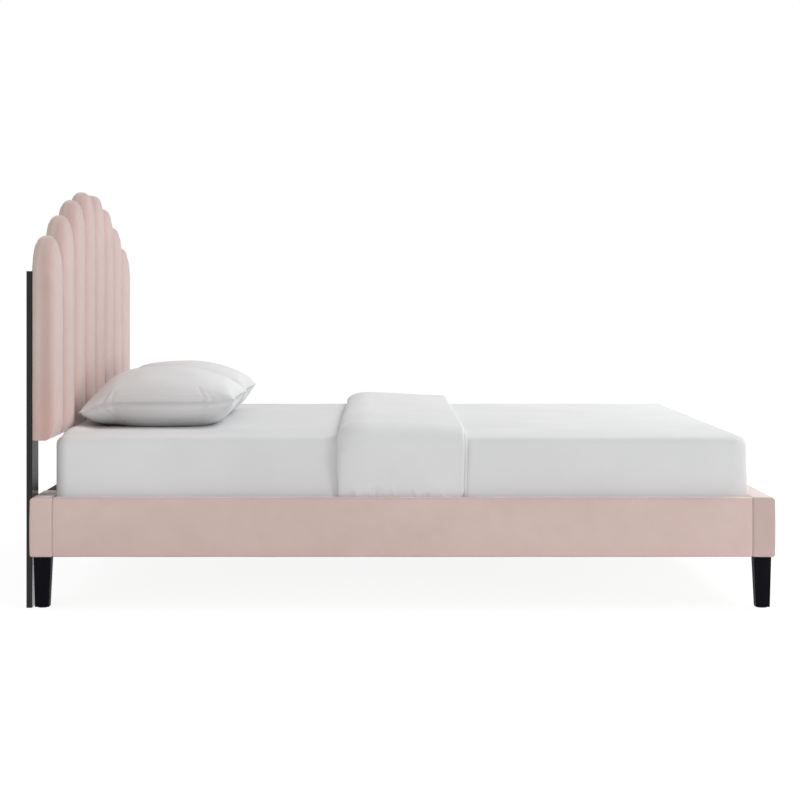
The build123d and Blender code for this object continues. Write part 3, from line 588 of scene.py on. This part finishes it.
# Headboard channels: eight upright bolsters of foam and wadding in velvet, with half-round tops
# that step up to the middle. The velvet is sewn between them, drawn back to the panel and
# wrapped round its scalloped edge.
CHANNEL_ROOM = 0.0065
CHANNEL_BACK_EDGE = 0.026
CHANNEL_SIDE = 0.0315
CHANNEL_SHOULDER = 0.0265
CHANNEL_FOOT_EDGE = 0.026
CHANNEL_FOOT_RISE = 0.044
CHANNEL_FOOT_SAG = 0.004
CHANNEL_RING = 0.013
CHANNEL_HELD = 0.020
PANEL_RIM = 0.0195
PANEL_FOOT_RIM = 0.0105
CHANNEL_STUFFING = {"pressure": 4.0, "cap": 0.0035, "frames": 16, "bend": 0.5}
CHANNEL_SEWN = 0.001
CHANNEL_WAVE = (0.11, 0.0009)
CHANNELS = 8
# Painted shade: the channel velvet is painted darker down each channel's sides, into the seams between
# channels, where shade falls.
SEAM_SHADE_STEPS = (
    (0.0, UNSHADED),
    (0.28, (0.98, 0.975, 0.975)),
    (0.48, (0.87, 0.84, 0.84)),
    (0.70, (0.82, 0.77, 0.77)),
    (0.84, (0.88, 0.84, 0.84)),
    (0.97, (0.97, 0.96, 0.96)),
)
# Painted shade: the channels are painted pinker and darker low down, where the pillows shade the
# headboard.
PILLOW_SHADE_STEPS = ((0.0, (1.0, 0.90, 0.88)), (1.0, UNSHADED))
PILLOW_SHADE_HEIGHT = 0.21
channel_boxes = [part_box(f"headboard_channel_{i + 1}") for i in range(CHANNELS)]
panel_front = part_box("headboard_panel")[1].x


def channel_painted_shade(tree, colour):
    """Painted shade down the channels' sides into their seams, and pinker painted shade low down, behind
    the pillows.
    """
    low, high = channel_boxes[0]
    colour = paint_shade_steps(tree, colour, "X", low.x, high.x, SEAM_SHADE_STEPS)
    return paint_shade_steps(tree, colour, "Z", low.z, low.z + PILLOW_SHADE_HEIGHT, PILLOW_SHADE_STEPS)


channel_velvet = velvet_cloth("channel_velvet", channel_painted_shade)


def channel_measures(index):
    """A channel's two corners, half its width, its row and the height where its arch starts."""
    low, high = channel_boxes[index]
    half = (high.y - low.y) / 2
    return low, high, half, (high.y + low.y) / 2, high.z - half


def channel_profile(half, depth):
    """Half of a channel's section (depth, across), from its crown out to its seam and back."""
    shoulder_row = half - CHANNEL_SHOULDER
    drop = depth - CHANNEL_SIDE
    crown = (shoulder_row**2 + drop**2 - CHANNEL_SHOULDER**2) / (2 * (drop - CHANNEL_SHOULDER))
    turn = math.degrees(math.atan2(CHANNEL_SIDE - depth + crown, shoulder_row))
    section = arc((0, depth - crown), crown, 90, turn, 12)
    section += arc((shoulder_row, CHANNEL_SIDE), CHANNEL_SHOULDER, turn, 0, 9)[1:]
    section += arc((half - CHANNEL_BACK_EDGE, CHANNEL_BACK_EDGE), CHANNEL_BACK_EDGE, 0, -90, 8)
    section.append((0, 0))
    return [(depth_at, across) for across, depth_at in section]


def puff(piece, held, pressure, cap, frames, bend):
    """Stuff a sewn cover: its cloth swells under pressure and stays put where it is held."""
    start = [vertex.co.copy() for vertex in piece.data.vertices]
    sewn = piece.vertex_groups.new(name="sewn")
    sewn.add([vertex.index for vertex in piece.data.vertices if held(vertex.co)], 1.0, "REPLACE")
    choose(piece)
    cloth = piece.modifiers.new("Stuffing", "CLOTH")
    cloth.settings.use_pressure = True
    cloth.settings.uniform_pressure_force = pressure
    cloth.settings.vertex_group_mass = "sewn"
    cloth.settings.bending_stiffness = bend
    cloth.settings.effector_weights.gravity = 0
    cloth.point_cache.frame_start = 1
    cloth.point_cache.frame_end = frames
    for number in range(1, frames + 1):
        bpy.context.scene.frame_set(number)
    bpy.ops.object.modifier_apply(modifier=cloth.name)
    bpy.context.scene.frame_set(1)
    for vertex, place in zip(piece.data.vertices, start):
        step = vertex.co - place
        vertex.co = place + step * (cap / (cap + step.length))
    piece.data.update()


def channel_pocket(index):
    """The panel's room in the back of a channel, open to its neighbours below their tops."""
    low, high, half, row, spring = channel_measures(index)
    reach = half - PANEL_RIM
    base = low.z + PANEL_FOOT_RIM
    outline = arc((0, spring), reach, 0, 180, 48)
    for step in (-1, 1):
        foot = [(step * reach, base)]
        if 0 <= index + step < len(channel_boxes):
            joined = min(spring, channel_boxes[index + step][1].z - half) - PANEL_RIM
            past = step * (half + PANEL_RIM)
            foot = [(step * reach, joined), (past, joined), (past, base)]
        outline = outline + foot if step < 0 else foot[::-1] + outline
    back = low.x - PANEL_RIM
    line = [Vector((back, row + across, up)) for across, up in outline]
    tool = draw_line("panel_room", line + line[:1])
    merge_doubles()
    bpy.ops.mesh.edge_face_add()
    carry(Vector((panel_front - back, 0, 0)))
    leave()
    return tool


def padded_channel(index):
    """One channel: its section spun over the top, carried down to its foot, and stuffed."""
    low, high, half, row, spring = channel_measures(index)
    depth = high.x - low.x - CHANNEL_ROOM
    profile = channel_profile(half, depth)
    line = [Vector((low.x + depth_at, row + across, spring)) for depth_at, across in profile]
    piece = draw_line(f"channel_{index + 1}", line)
    bpy.ops.mesh.spin(steps=44, angle=-math.pi, center=(low.x, row, spring), axis=(1, 0, 0))
    merge_doubles()
    pick_edges(piece, lambda place: abs(place.z - spring) < TOUCHING)
    foot_rings = [CHANNEL_FOOT_RISE * (1 - math.sin(math.radians(10 * i))) for i in range(10)]
    straight = spring - low.z - CHANNEL_FOOT_RISE
    count = round(straight / CHANNEL_RING)
    heights = [spring - straight * i / count for i in range(count)]
    heights += [low.z + rise for rise in foot_rings]
    for here, there in zip(heights, heights[1:]):
        carry(Vector((0, 0, there - here)))
    bpy.ops.mesh.edge_face_add()
    leave()

    def rounded_foot(place, normal):
        drop = 1 - (place.z - low.z) / CHANNEL_FOOT_RISE
        if drop > 0:
            cut = CHANNEL_FOOT_EDGE * (1 - math.sqrt(max(1 - drop**2, 0)))
            place.x = min(place.x, low.x + depth - cut)
            place.z -= CHANNEL_FOOT_SAG * drop**2
        return place

    reshape(piece, rounded_foot)

    def sewn(place):
        return place.x < low.x + CHANNEL_HELD or place.z < low.z + CHANNEL_SEWN

    puff(piece, sewn, **CHANNEL_STUFFING)
    reshape(piece, lambda place, normal: place + normal * stuffing(place, CHANNEL_WAVE))
    finish_with(piece, "SUBSURF", levels=1, render_levels=1)
    cut_away(piece, channel_pocket(index))
    place_piece(piece, channel_velvet, "bed_frame")
    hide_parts(f"headboard_channel_{index + 1}")


for index in range(CHANNELS):
    padded_channel(index)


# Mattress: a foam and spring block in quilted white ticking with rounded corners, and over it
# a fitted cotton sheet, pulled down between the rails, its corners sewn into darts.
MATTRESS_CORNER = 0.040
MATTRESS_EDGE = 0.024
MATTRESS_HEAD_EDGE = 0.008
MATTRESS_HEAD_LIFT = 0.0085
MATTRESS_LEAN = 0.007
HEAD_EDGE_FREE = 0.2
HEAD_EDGE_FADE = 0.15
SLAB_BORDER = 0.12
SLAB_ROW = 0.012
TICKING_TONES = ((0.66, 0.66, 0.64), (0.76, 0.76, 0.74))
TICKING_WAVE = (0.09, 0.0006)
TICKING_INSET = 0.0008
mattress_low, mattress_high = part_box("mattress")
sheet_low, sheet_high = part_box("fitted_sheet")


def eased(share):
    """A share kept between 0 and 1 that starts and ends softly."""
    share = min(max(share, 0.0), 1.0)
    return share * share * (3 - 2 * share)


def cut_across(axis, places):
    """Cut the piece being edited across an axis at each place."""
    facing = Vector((axis == 0, axis == 1, axis == 2))
    for place in places:
        bpy.ops.mesh.select_all(action="SELECT")
        bpy.ops.mesh.bisect(plane_co=facing * place, plane_no=facing)


def rounded_slab(name, low, high, wide, close):
    """A slab with the mattress's round corners and edges, on a grid that is closer near its ends."""
    corner, edge = MATTRESS_CORNER, MATTRESS_EDGE
    piece = block(name, low, high)
    bpy.ops.object.mode_set(mode="EDIT")
    for axis in (0, 1):
        length = high[axis] - low[axis]
        inside = length - 2 * SLAB_BORDER
        near = [close * i for i in range(1, round(SLAB_BORDER / close))]
        count = round(inside / wide)
        cuts = near + [SLAB_BORDER + inside * i / count for i in range(count + 1)]
        cuts += [length - place for place in near]
        cut_across(axis, [low[axis] + place for place in cuts])
    count = round((high.z - low.z) / SLAB_ROW)
    cut_across(2, [low.z + (high.z - low.z) * i / count for i in range(1, count)])
    leave()
    middle = (low + high) / 2
    half = (high - low) / 2

    def rounded(place, normal):
        local = place - middle
        sign = [math.copysign(1, part) for part in local]
        x, y, z = (abs(part) for part in local)
        past_x, past_y = x - half.x + corner, y - half.y + corner
        in_corner = past_x > 0 and past_y > 0
        inset = corner - max(past_x, past_y) if in_corner else min(half.x - x, half.y - y)
        drop = half.z - z
        roll = edge
        if sign[0] < 0:
            squeezed = 1 - eased((y - half.y + HEAD_EDGE_FREE) / HEAD_EDGE_FADE)
            squeezed *= 1 - min(1, (half.x - x) / corner)
            roll = edge + (MATTRESS_HEAD_EDGE - edge) * squeezed
        if max(inset, drop) < roll:
            turn = math.radians(45 + 45 * (inset - drop) / roll)
            inset = roll * (1 - math.cos(turn))
            z = half.z - roll * (1 - math.sin(turn))
        if in_corner:
            if past_x >= past_y:
                turn = math.pi / 4 * past_y / past_x
            else:
                turn = math.pi / 2 - math.pi / 4 * past_x / past_y
            x = half.x - corner + (corner - inset) * math.cos(turn)
            y = half.y - corner + (corner - inset) * math.sin(turn)
        elif half.x - x < half.y - y:
            x = half.x - inset
        else:
            y = half.y - inset
        rise = (sign[2] * z + half.z) / (2 * half.z)
        if sign[0] > 0:
            x -= MATTRESS_LEAN * rise * (x / half.x)
        return middle + Vector((sign[0] * x, sign[1] * y, sign[2] * z))

    reshape(piece, rounded)
    return piece


ticking, tree, shader = new_finish("ticking", 0.85, {"Sheen Weight": 0.1})
quilting = on_piece(tree, (9.0, 9.0, 9.0))
cells = add_node(tree, "ShaderNodeTexVoronoi", {"Vector": quilting, "Scale": 1.0, "Randomness": 0.15})
thread = cloudy(tree, on_piece(tree), 900.0, 2.0)
paint(tree, shader, thread, TICKING_TONES)
emboss(tree, shader, blended(tree, (cells.outputs["Distance"], 1), (thread, 0.02)), 0.006)


mattress = rounded_slab("mattress_block", mattress_low, mattress_high, wide=0.06, close=0.03)
reshape(
    mattress, lambda place, normal: place + normal * (stuffing(place, TICKING_WAVE) - TICKING_INSET)
)
place_piece(mattress, ticking, "bed_frame")
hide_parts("mattress")

COTTON_TONES = ((0.700, 0.706, 0.710), (0.742, 0.748, 0.753))
COTTON_SHEEN = {"Specular IOR Level": 0.2, "Sheen Weight": 0.12, "Sheen Roughness": 0.5}
COTTON_THREAD = 0.0009


def cotton_cloth(name):
    """Fine white cotton: a plain weave too small to see from a step away, and soft."""
    material, tree, shader = new_finish(name, 0.86, COTTON_SHEEN)
    soft = cloudy(tree, on_piece(tree), 3.5, 3.0)
    paint(tree, shader, soft, COTTON_TONES)
    along, across, upright = thread_waves(tree, COTTON_THREAD)
    flat_weave = worked(tree, "MULTIPLY", along, across)
    side_weave = worked(tree, "MULTIPLY", upright, along)
    slub = cloudy(tree, on_piece(tree), 60.0, 3.0)
    weave = worked(tree, "ADD", flat_weave, side_weave)
    emboss(tree, shader, blended(tree, (weave, 0.06), (slub, 1)), 0.0005)
    return material


cotton = cotton_cloth("cotton")
SHEET_CLOTH = 0.0009
sheet_top = sheet_high.z
bottom_room = sheet_high.z - mattress_high.z
slab_low = Vector((sheet_low.x, sheet_low.y, mattress_low.z - bottom_room))
sheet = rounded_slab("sheet_cotton", slab_low, sheet_high, wide=0.026, close=0.006)


def ridge(place, start, end, width, height):
    """The height at a place of one crease that runs from start to end and fades at both."""
    run = end - start
    share = (place - start) @ run / run.length_squared
    if not -0.2 < share < 1.2:
        return 0.0
    off = (place - start - run * share).length
    fade = max(0.0, 1 - (2 * share - 1) ** 4)
    return height * fade * math.exp(-((off / width) ** 2))


DART_BACK = 0.049
DART_INSET = 0.004
DART_BASE = 0.270
DART_TOP = Vector((0.002, 0.006, -0.028))
DART_WIDTH = 0.0035
DART_HEIGHT = -0.0034
GATHERS = 6
GATHER_SPACING = 0.014
GATHER_FOOT = Vector((0.004, 0.001, -0.052))
GATHER_TOP = Vector((0.014, 0.034, -0.004))
GATHER_UNEVEN = 0.006
GATHER_WIDTH = 0.0042
GATHER_HEIGHTS = (-0.0020, 0.0026)
sheet_creases = []
for end_x, toward in ((sheet_low.x, 1), (sheet_high.x, -1)):
    for side_y in (sheet_low.y, sheet_high.y):
        inward = -math.copysign(1, side_y)
        turned = Vector((toward, inward, 1))
        dart = Vector((end_x + toward * DART_BACK, side_y + inward * DART_INSET, sheet_top))
        foot = Vector((dart.x, dart.y, DART_BASE))
        sheet_creases.append((foot, dart + turned * DART_TOP, DART_WIDTH, DART_HEIGHT))
        for i in range(GATHERS):
            along = Vector((toward * GATHER_SPACING * i, 0, 0))
            foot = dart + along + turned * GATHER_FOOT
            foot.z -= GATHER_UNEVEN * (i % 3)
            top = dart + along + turned * GATHER_TOP
            sheet_creases.append((foot, top, GATHER_WIDTH, GATHER_HEIGHTS[i % 2]))

SLACK_WAVES = ((0.24, 0.0012), (0.07, 0.0004))
CREASE_NEAR = 0.1
LIFT_STRIP = (0.08, 0.07)
LIFT_EDGE = (0.07, 0.06)
LIFT_SIDES = (0.28, 0.16)


def slack_sheet(place, normal):
    """Cotton over the mattress: slack, creased at its darts and pushed up along the headboard."""
    push = stuffing(place, *SLACK_WAVES)
    for start, end, width, height in sheet_creases:
        if (place - start).xy.length < CREASE_NEAR:
            push += ridge(place, start, end, width, height)
    lift = MATTRESS_HEAD_LIFT * eased((sheet_low.x + LIFT_STRIP[0] - place.x) / LIFT_STRIP[1])
    lift *= eased((place.z - sheet_top + LIFT_EDGE[0]) / LIFT_EDGE[1])
    lift *= 1 - eased((abs(place.y) - sheet_high.y + LIFT_SIDES[0]) / LIFT_SIDES[1])
    return place + normal * push + Vector((0, 0, lift))


reshape(sheet, slack_sheet)
bpy.ops.object.mode_set(mode="EDIT")
bpy.ops.mesh.select_all(action="SELECT")
bpy.ops.mesh.bisect(plane_co=(0, 0, sheet_low.z), plane_no=(0, 0, 1), clear_inner=True)
bpy.ops.object.mode_set(mode="OBJECT")
finish_with(sheet, "SOLIDIFY", thickness=SHEET_CLOTH, offset=-1)
place_piece(sheet, cotton, "bed_frame")
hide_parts("fitted_sheet")


# Pillows: cotton cases sewn from two flat panels with a narrow welted seam, stuffed with
# polyester fibre, so that their sides draw in and their corners stand out as ears.
PILLOW_CUT = Vector((0.520, 0.665, 0.004))
PILLOW_GRID = (116, 148)
PILLOW_SEWN = 0.001
PILLOW_DRAWN = 0.055
PILLOW_FULL_ACROSS = 2.2
PILLOW_FULL_ALONG = 2.4
PILLOW_LOWER = 0.100
PILLOW_SINK = 0.009
PILLOW_GAP = 0.0006
PILLOW_WAVE = (0.11, 0.003)
PILLOW_WELT = 0.0028
PILLOW_STUFFING = {"pressure": 3.0, "cap": 0.004, "frames": 14, "bend": 0.15}
PILLOW_RESTING = 0.003
SEAM_HEAD = 0.048
SEAM_MIDDLE = 0.080
SEAM_FOOT = 0.088
SEAM_HEAD_END = 0.24
SEAM_FOOT_START = 0.84
EAR_CREASES = 5
EAR_START = 1.01
EAR_LENGTH = 0.042
EAR_UNEVEN = 0.014
EAR_WIDTHS = (0.0044, 0.0048)
EAR_HEIGHTS = (-0.0022, 0.0024)
EAR_UNDER = 0.65
pillow_low, pillow_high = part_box("pillow_right")

pillow_creases = []
for sign_x in (-1, 1):
    for sign_y in (-1, 1):
        half_cut = Vector((sign_x * PILLOW_CUT.x / 2, sign_y * PILLOW_CUT.y / 2, 0))
        for i in range(EAR_CREASES):
            height = EAR_HEIGHTS[i % 2]
            length = EAR_LENGTH + EAR_UNEVEN * math.sin(4 * i + sign_x)
            turn = 0.5 + 0.25 * i
            lean = Vector((-sign_x * math.sin(turn), -sign_y * math.cos(turn), 0))
            start = Vector((half_cut.x * (0.60 + 0.075 * i), half_cut.y * EAR_START, 0))
            pillow_creases.append((start, start + lean * length, EAR_WIDTHS[0], height))
            lean = Vector((-sign_x * math.cos(turn), -sign_y * math.sin(turn), 0))
            start = Vector((half_cut.x * EAR_START, half_cut.y * (0.55 + 0.09 * i), 0))
            pillow_creases.append((start, start + lean * length, EAR_WIDTHS[1], height))


def stuffed(place, normal):
    """A point of the flat case, brought to where the stuffing holds it over the sheet."""
    across, along = 2 * place.x / PILLOW_CUT.x, 2 * place.y / PILLOW_CUT.y
    full = max(0.0, 1 - abs(across) ** PILLOW_FULL_ACROSS) * max(0.0, 1 - abs(along) ** PILLOW_FULL_ALONG)
    full = full**0.5
    x = across * (1 - PILLOW_DRAWN * across**2 * (1 - along**2))
    y = along * (1 - PILLOW_DRAWN * along**2 * (1 - across**2))
    share = (x + 1) / 2
    seam = SEAM_MIDDLE - (SEAM_MIDDLE - SEAM_HEAD) * (1 - eased(share / SEAM_HEAD_END))
    seam += (SEAM_FOOT - SEAM_MIDDLE) * eased((share - SEAM_FOOT_START) / (1 - SEAM_FOOT_START))
    fold = stuffing(Vector((place.x, place.y, 0)), PILLOW_WAVE)
    above = pillow_high.z - sheet_top - SEAM_MIDDLE - PILLOW_SINK
    puffed = full * above + fold if place.z > PILLOW_CUT.z / 2 else -full * PILLOW_LOWER - fold / 2
    rise = max(seam + puffed * min(1, full * 12), 0.0)
    return Vector((
        (pillow_low.x + pillow_high.x) / 2 + x * (pillow_high.x - pillow_low.x) / 2,
        (pillow_low.y + pillow_high.y) / 2 + y * (pillow_high.y - pillow_low.y) / 2,
        sheet_top + PILLOW_GAP + rise + place.z / 2,
    ))


def on_rim(place):
    """Whether a point of the flat case is on its sewn edge."""
    past_end = abs(place.x) > PILLOW_CUT.x / 2 - PILLOW_SEWN
    return past_end or abs(place.y) > PILLOW_CUT.y / 2 - PILLOW_SEWN


bpy.ops.object.select_all(action="DESELECT")
bpy.ops.mesh.primitive_grid_add(x_subdivisions=PILLOW_GRID[0], y_subdivisions=PILLOW_GRID[1], size=1)
pillow = begin("pillow_case_right")
bpy.ops.transform.resize(value=(PILLOW_CUT.x, PILLOW_CUT.y, 1))
carry(Vector((0, 0, PILLOW_CUT.z)))
leave()
rim = pillow.vertex_groups.new(name="rim")
rim.add([vertex.index for vertex in pillow.data.vertices if on_rim(vertex.co)], 1.0, "REPLACE")
flat_case = [Vector((vertex.co.x, vertex.co.y, 0)) for vertex in pillow.data.vertices]
crease_heights = iter([sum(ridge(place, *crease) for crease in pillow_creases) for place in flat_case])


def creased(place, normal):
    """The pillow's next point with the creases that run in from its ears, fainter below."""
    faint = EAR_UNDER + (1 - EAR_UNDER) * normal.z
    return place + normal * next(crease_heights) * faint


reshape(pillow, stuffed)
puff(pillow, lambda place: place.z < sheet_top + PILLOW_RESTING, **PILLOW_STUFFING)
reshape(pillow, creased)
choose(pillow)
pillow.vertex_groups.active_index = pillow.vertex_groups["rim"].index
bpy.ops.object.mode_set(mode="EDIT")
bpy.ops.mesh.select_mode(type="VERT")
bpy.ops.mesh.select_all(action="DESELECT")
bpy.ops.object.vertex_group_select()
bpy.ops.mesh.select_mode(type="FACE")
bpy.ops.mesh.extrude_region_shrink_fatten(TRANSFORM_OT_shrink_fatten={"value": PILLOW_WELT})
leave()
pillow_cotton = cotton_cloth("pillow_cotton")
other = linked("pillow_case_left", pillow.data)
reshape(other, lambda place, normal: Vector((place.x, -place.y, place.z)))
other.data.flip_normals()
for side, case in (("right", pillow), ("left", other)):
    place_piece(case, pillow_cotton, f"pillow_{side}")
    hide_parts(f"pillow_{side}")


# Folded cover: a light white quilt folded in half towards the foot and laid across the bed, its
# fold rolled thick at the head side and its ends hanging down to be tucked at the rails.
COVER_HEAD_THICK = 0.046
COVER_ROLL = 0.080
COVER_ROLL_FOOT = 0.010
COVER_FOOT_THICK = 0.030
COVER_STEP = 0.009
COVER_SLIT = 0.002
COVER_OUT = 0.001
COVER_HEM_SHARE = 0.45
COVER_TUCK = 0.3
COVER_WAVY = 0.0045
COVER_INSET = (0.009, -0.004)
COVER_LOWER = 0.003
COVER_BINDING = 0.0005
COVER_ROWS = 46
COVER_DROPS = 12
COVER_TURNS = 12
TUCK_START = 0.88
cover_low, cover_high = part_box("folded_cover")
cover_half = sheet_high.y + COVER_OUT
cover_bend = MATTRESS_EDGE + sheet_high.z - mattress_high.z
bend_row = cover_half - cover_bend
bend_base = sheet_top - cover_bend


def run_between(start, end, count):
    """Points on a straight run, with its start and without its end."""
    step = [there - here for here, there in zip(start, end)]
    return [(start[0] + step[0] * i / count, start[1] + step[1] * i / count) for i in range(count)]


def cover_section():
    """The folded quilt's outline (along the bed, out from the sheet), round from its head fold."""
    fold = COVER_HEAD_THICK / 2
    edge = COVER_FOOT_THICK / 4
    head, foot = cover_low.x + COVER_INSET[0], cover_high.x + COVER_INSET[1]
    top_foot = foot - COVER_STEP
    slit_low, slit_high = fold - COVER_SLIT / 2, fold + COVER_SLIT / 2
    outline = run_between((head + fold, 0), (foot - edge, 0), 18)
    outline += arc((foot - edge, edge), edge, -90, 90, 6)[:-1]
    outline += run_between((foot - edge, 2 * edge), (head + fold, slit_low), 18)
    outline += run_between((head + fold, slit_low), (head + fold, slit_high), 1)
    outline += run_between((head + fold, slit_high), (top_foot - edge, 2 * edge + COVER_SLIT), 18)
    outline += arc((top_foot - edge, 3 * edge + COVER_SLIT), edge, -90, 90, 6)[:-1]
    outline += run_between((top_foot - edge, 4 * edge + COVER_SLIT), (head + COVER_ROLL, 2 * fold), 34)
    roll_height = 2 * fold - COVER_ROLL_FOOT
    for across, up in arc((0, 0), 1, 90, 180, 12):
        outline.append((head + COVER_ROLL * (1 + across), COVER_ROLL_FOOT + roll_height * up))
    outline += arc((head + COVER_ROLL_FOOT, COVER_ROLL_FOOT), COVER_ROLL_FOOT, 180, 270, 4)[1:]
    return outline


line = [Vector((x, 0, sheet_top + out)) for x, out in cover_section()]
cover = draw_line("quilt", line)
merge_doubles()
bpy.ops.mesh.select_all(action="SELECT")
hem = cover_low.z - COVER_LOWER
for i in range(COVER_ROWS):
    carry(Vector((0, -bend_row / COVER_ROWS, 0)))
bpy.ops.mesh.spin(
    steps=COVER_TURNS, angle=math.pi / 2, center=(0, -bend_row, bend_base), axis=(-1, 0, 0)
)
for i in range(COVER_DROPS):
    carry(Vector((0, 0, (hem - bend_base) / COVER_DROPS)))
carry(Vector((0, 0, -COVER_BINDING)))
bpy.ops.mesh.edge_face_add()
leave()


def hanging(place, normal):
    """The hanging ends thin out towards the hem, and all of it lies a little unevenly."""
    drop = max(0.0, bend_base - place.z) / (bend_base - hem)
    from_head = (place.x - cover_low.x - COVER_INSET[0]) / COVER_ROLL
    if 0 < from_head < 1:
        squeezed = 1 + eased(5 * drop)
        place.x += COVER_ROLL * (from_head**squeezed - from_head)
    if drop > 0:
        out = -place.y - cover_half
        tucked = 1 - COVER_TUCK * eased((drop - TUCK_START) / (1 - TUCK_START))
        place.y = -cover_half - out * (1 - (1 - COVER_HEM_SHARE) * drop) * tucked
    place.x += COVER_WAVY * noise.noise(Vector((place.x * 4, place.y * 13, place.z * 13)))
    return place


reshape(cover, hanging)
finish_with(cover, "MIRROR", use_axis=(False, True, False), use_clip=True)
finish_with(cover, "SUBSURF", levels=1, render_levels=1)

TUCKS = 9
TUCK_FIRST = 0.045
TUCK_SPACING = 0.04
TUCK_LOW = 0.004
TUCK_HEIGHT = 0.024
TUCK_WIDTH = 0.005
TUCK_DEPTHS = (-0.0036, 0.0034)
TUCK_REACH = 0.06
QUILT_WAVES = ((0.13, 0.0016), (0.045, 0.0006))
tucks = []
for i in range(TUCKS):
    tuck_x = cover_low.x + TUCK_FIRST + TUCK_SPACING * i + 0.016 * math.sin(5 * i)
    at_hem = Vector((tuck_x, 0, hem - TUCK_LOW))
    rise = Vector((0.008 * math.cos(3 * i), 0, TUCK_HEIGHT + 0.012 * math.sin(7 * i)))
    tucks.append((at_hem, at_hem + rise, TUCK_WIDTH, TUCK_DEPTHS[i % 2]))


def quilted(place, normal):
    """The quilt's loose filling, and the small folds where its ends are tucked in."""
    push = stuffing(place, *QUILT_WAVES)
    if place.z < hem + TUCK_REACH:
        for tuck in tucks:
            push += ridge(Vector((place.x, 0, place.z)), *tuck)
    return place + normal * push


reshape(cover, quilted)
place_piece(cover, cotton, "folded_cover")
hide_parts("folded_cover")


# Studio: a plain pale floor that runs on to a white background, soft light from all round, one
# large soft lamp above the bed and two low ones in front of it, right and left of the camera,
# which stands level with the headboard.
FLOOR_SIZE = 400.0
FLOOR_TONE = 0.85
FLOOR_SHADE = 0.2
FLOOR_GLOW = 0.9
SKY_LIGHT = 0.58
KEY_PLACE = Vector((2.9, 1.0, 3.9))
KEY_AIM = Vector((-0.3, 0.0, 0.4))
KEY_SIZE = 2.6
KEY_POWER = 128.0
FILL_PLACES = (Vector((6.2, -6.0, 0.9)), Vector((-4.5, -7.0, 1.0)))
FILL_AIM = Vector((0.0, 0.0, 0.3))
FILL_SIZE = 2.4
FILL_POWERS = (180.0, 72.0)
CAMERA_PLACE = (-0.0567, -7.424, 0.921)
CAMERA_SENSOR = 36.0
CAMERA_LENS = 99.3
CAMERA_SHIFT = (0.0237, -0.135)


def seen_directly(tree):
    """1 for rays from the camera, mirrors and glass, and 0 for the light that falls on the bed."""
    path = add_node(tree, "ShaderNodeLightPath")
    direct = worked(tree, "MAXIMUM", path.outputs["Is Camera Ray"], path.outputs["Is Glossy Ray"])
    return worked(tree, "MAXIMUM", direct, path.outputs["Is Transmission Ray"])


bpy.ops.object.select_all(action="DESELECT")
bpy.ops.mesh.primitive_plane_add(size=FLOOR_SIZE)
floor = bpy.context.object
floor.name = "floor"
glowing = {"Specular IOR Level": 0.0, "Emission Color": (1, 1, 1, 1)}
floor_white, tree, shader = new_finish("floor_white", 0.9, glowing)
direct = seen_directly(tree)
tree.links.new(ranged(tree, direct, FLOOR_TONE, FLOOR_SHADE), shader.inputs["Base Color"])
tree.links.new(worked(tree, "MULTIPLY", direct, FLOOR_GLOW), shader.inputs["Emission Strength"])
floor.data.materials.append(floor_white)

world = bpy.data.worlds.new("studio")
bpy.context.scene.world = world
world.use_nodes = True
tree = world.node_tree
strength = ranged(tree, seen_directly(tree), SKY_LIGHT, 1.0)
tree.nodes["Background"].inputs["Color"].default_value = (1, 1, 1, 1)
tree.links.new(strength, tree.nodes["Background"].inputs["Strength"])


def softbox(name, place, aim, size, power):
    """A square soft lamp that the camera doesn't see."""
    bpy.ops.object.light_add(type="AREA", location=place)
    lamp = bpy.context.object
    lamp.name = name
    lamp.rotation_euler = (aim - place).to_track_quat("-Z", "Y").to_euler()
    lamp.data.shape = "SQUARE"
    lamp.data.size = size
    lamp.data.energy = power
    lamp.visible_camera = False
    return lamp


softbox("key_light", KEY_PLACE, KEY_AIM, KEY_SIZE, KEY_POWER)
for side, place, power in zip(SIDES, FILL_PLACES, FILL_POWERS):
    fill = softbox(f"fill_light_{side}", place, FILL_AIM, FILL_SIZE, power)
    fill.visible_glossy = False

bpy.ops.object.camera_add(location=CAMERA_PLACE, rotation=(math.pi / 2, 0, 0))
camera = bpy.context.object
camera.name = "camera"
camera.data.sensor_width = CAMERA_SENSOR
camera.data.lens = CAMERA_LENS
camera.data.shift_x, camera.data.shift_y = CAMERA_SHIFT
bpy.context.scene.camera = camera
bpy.context.scene.view_settings.view_transform = "Standard"
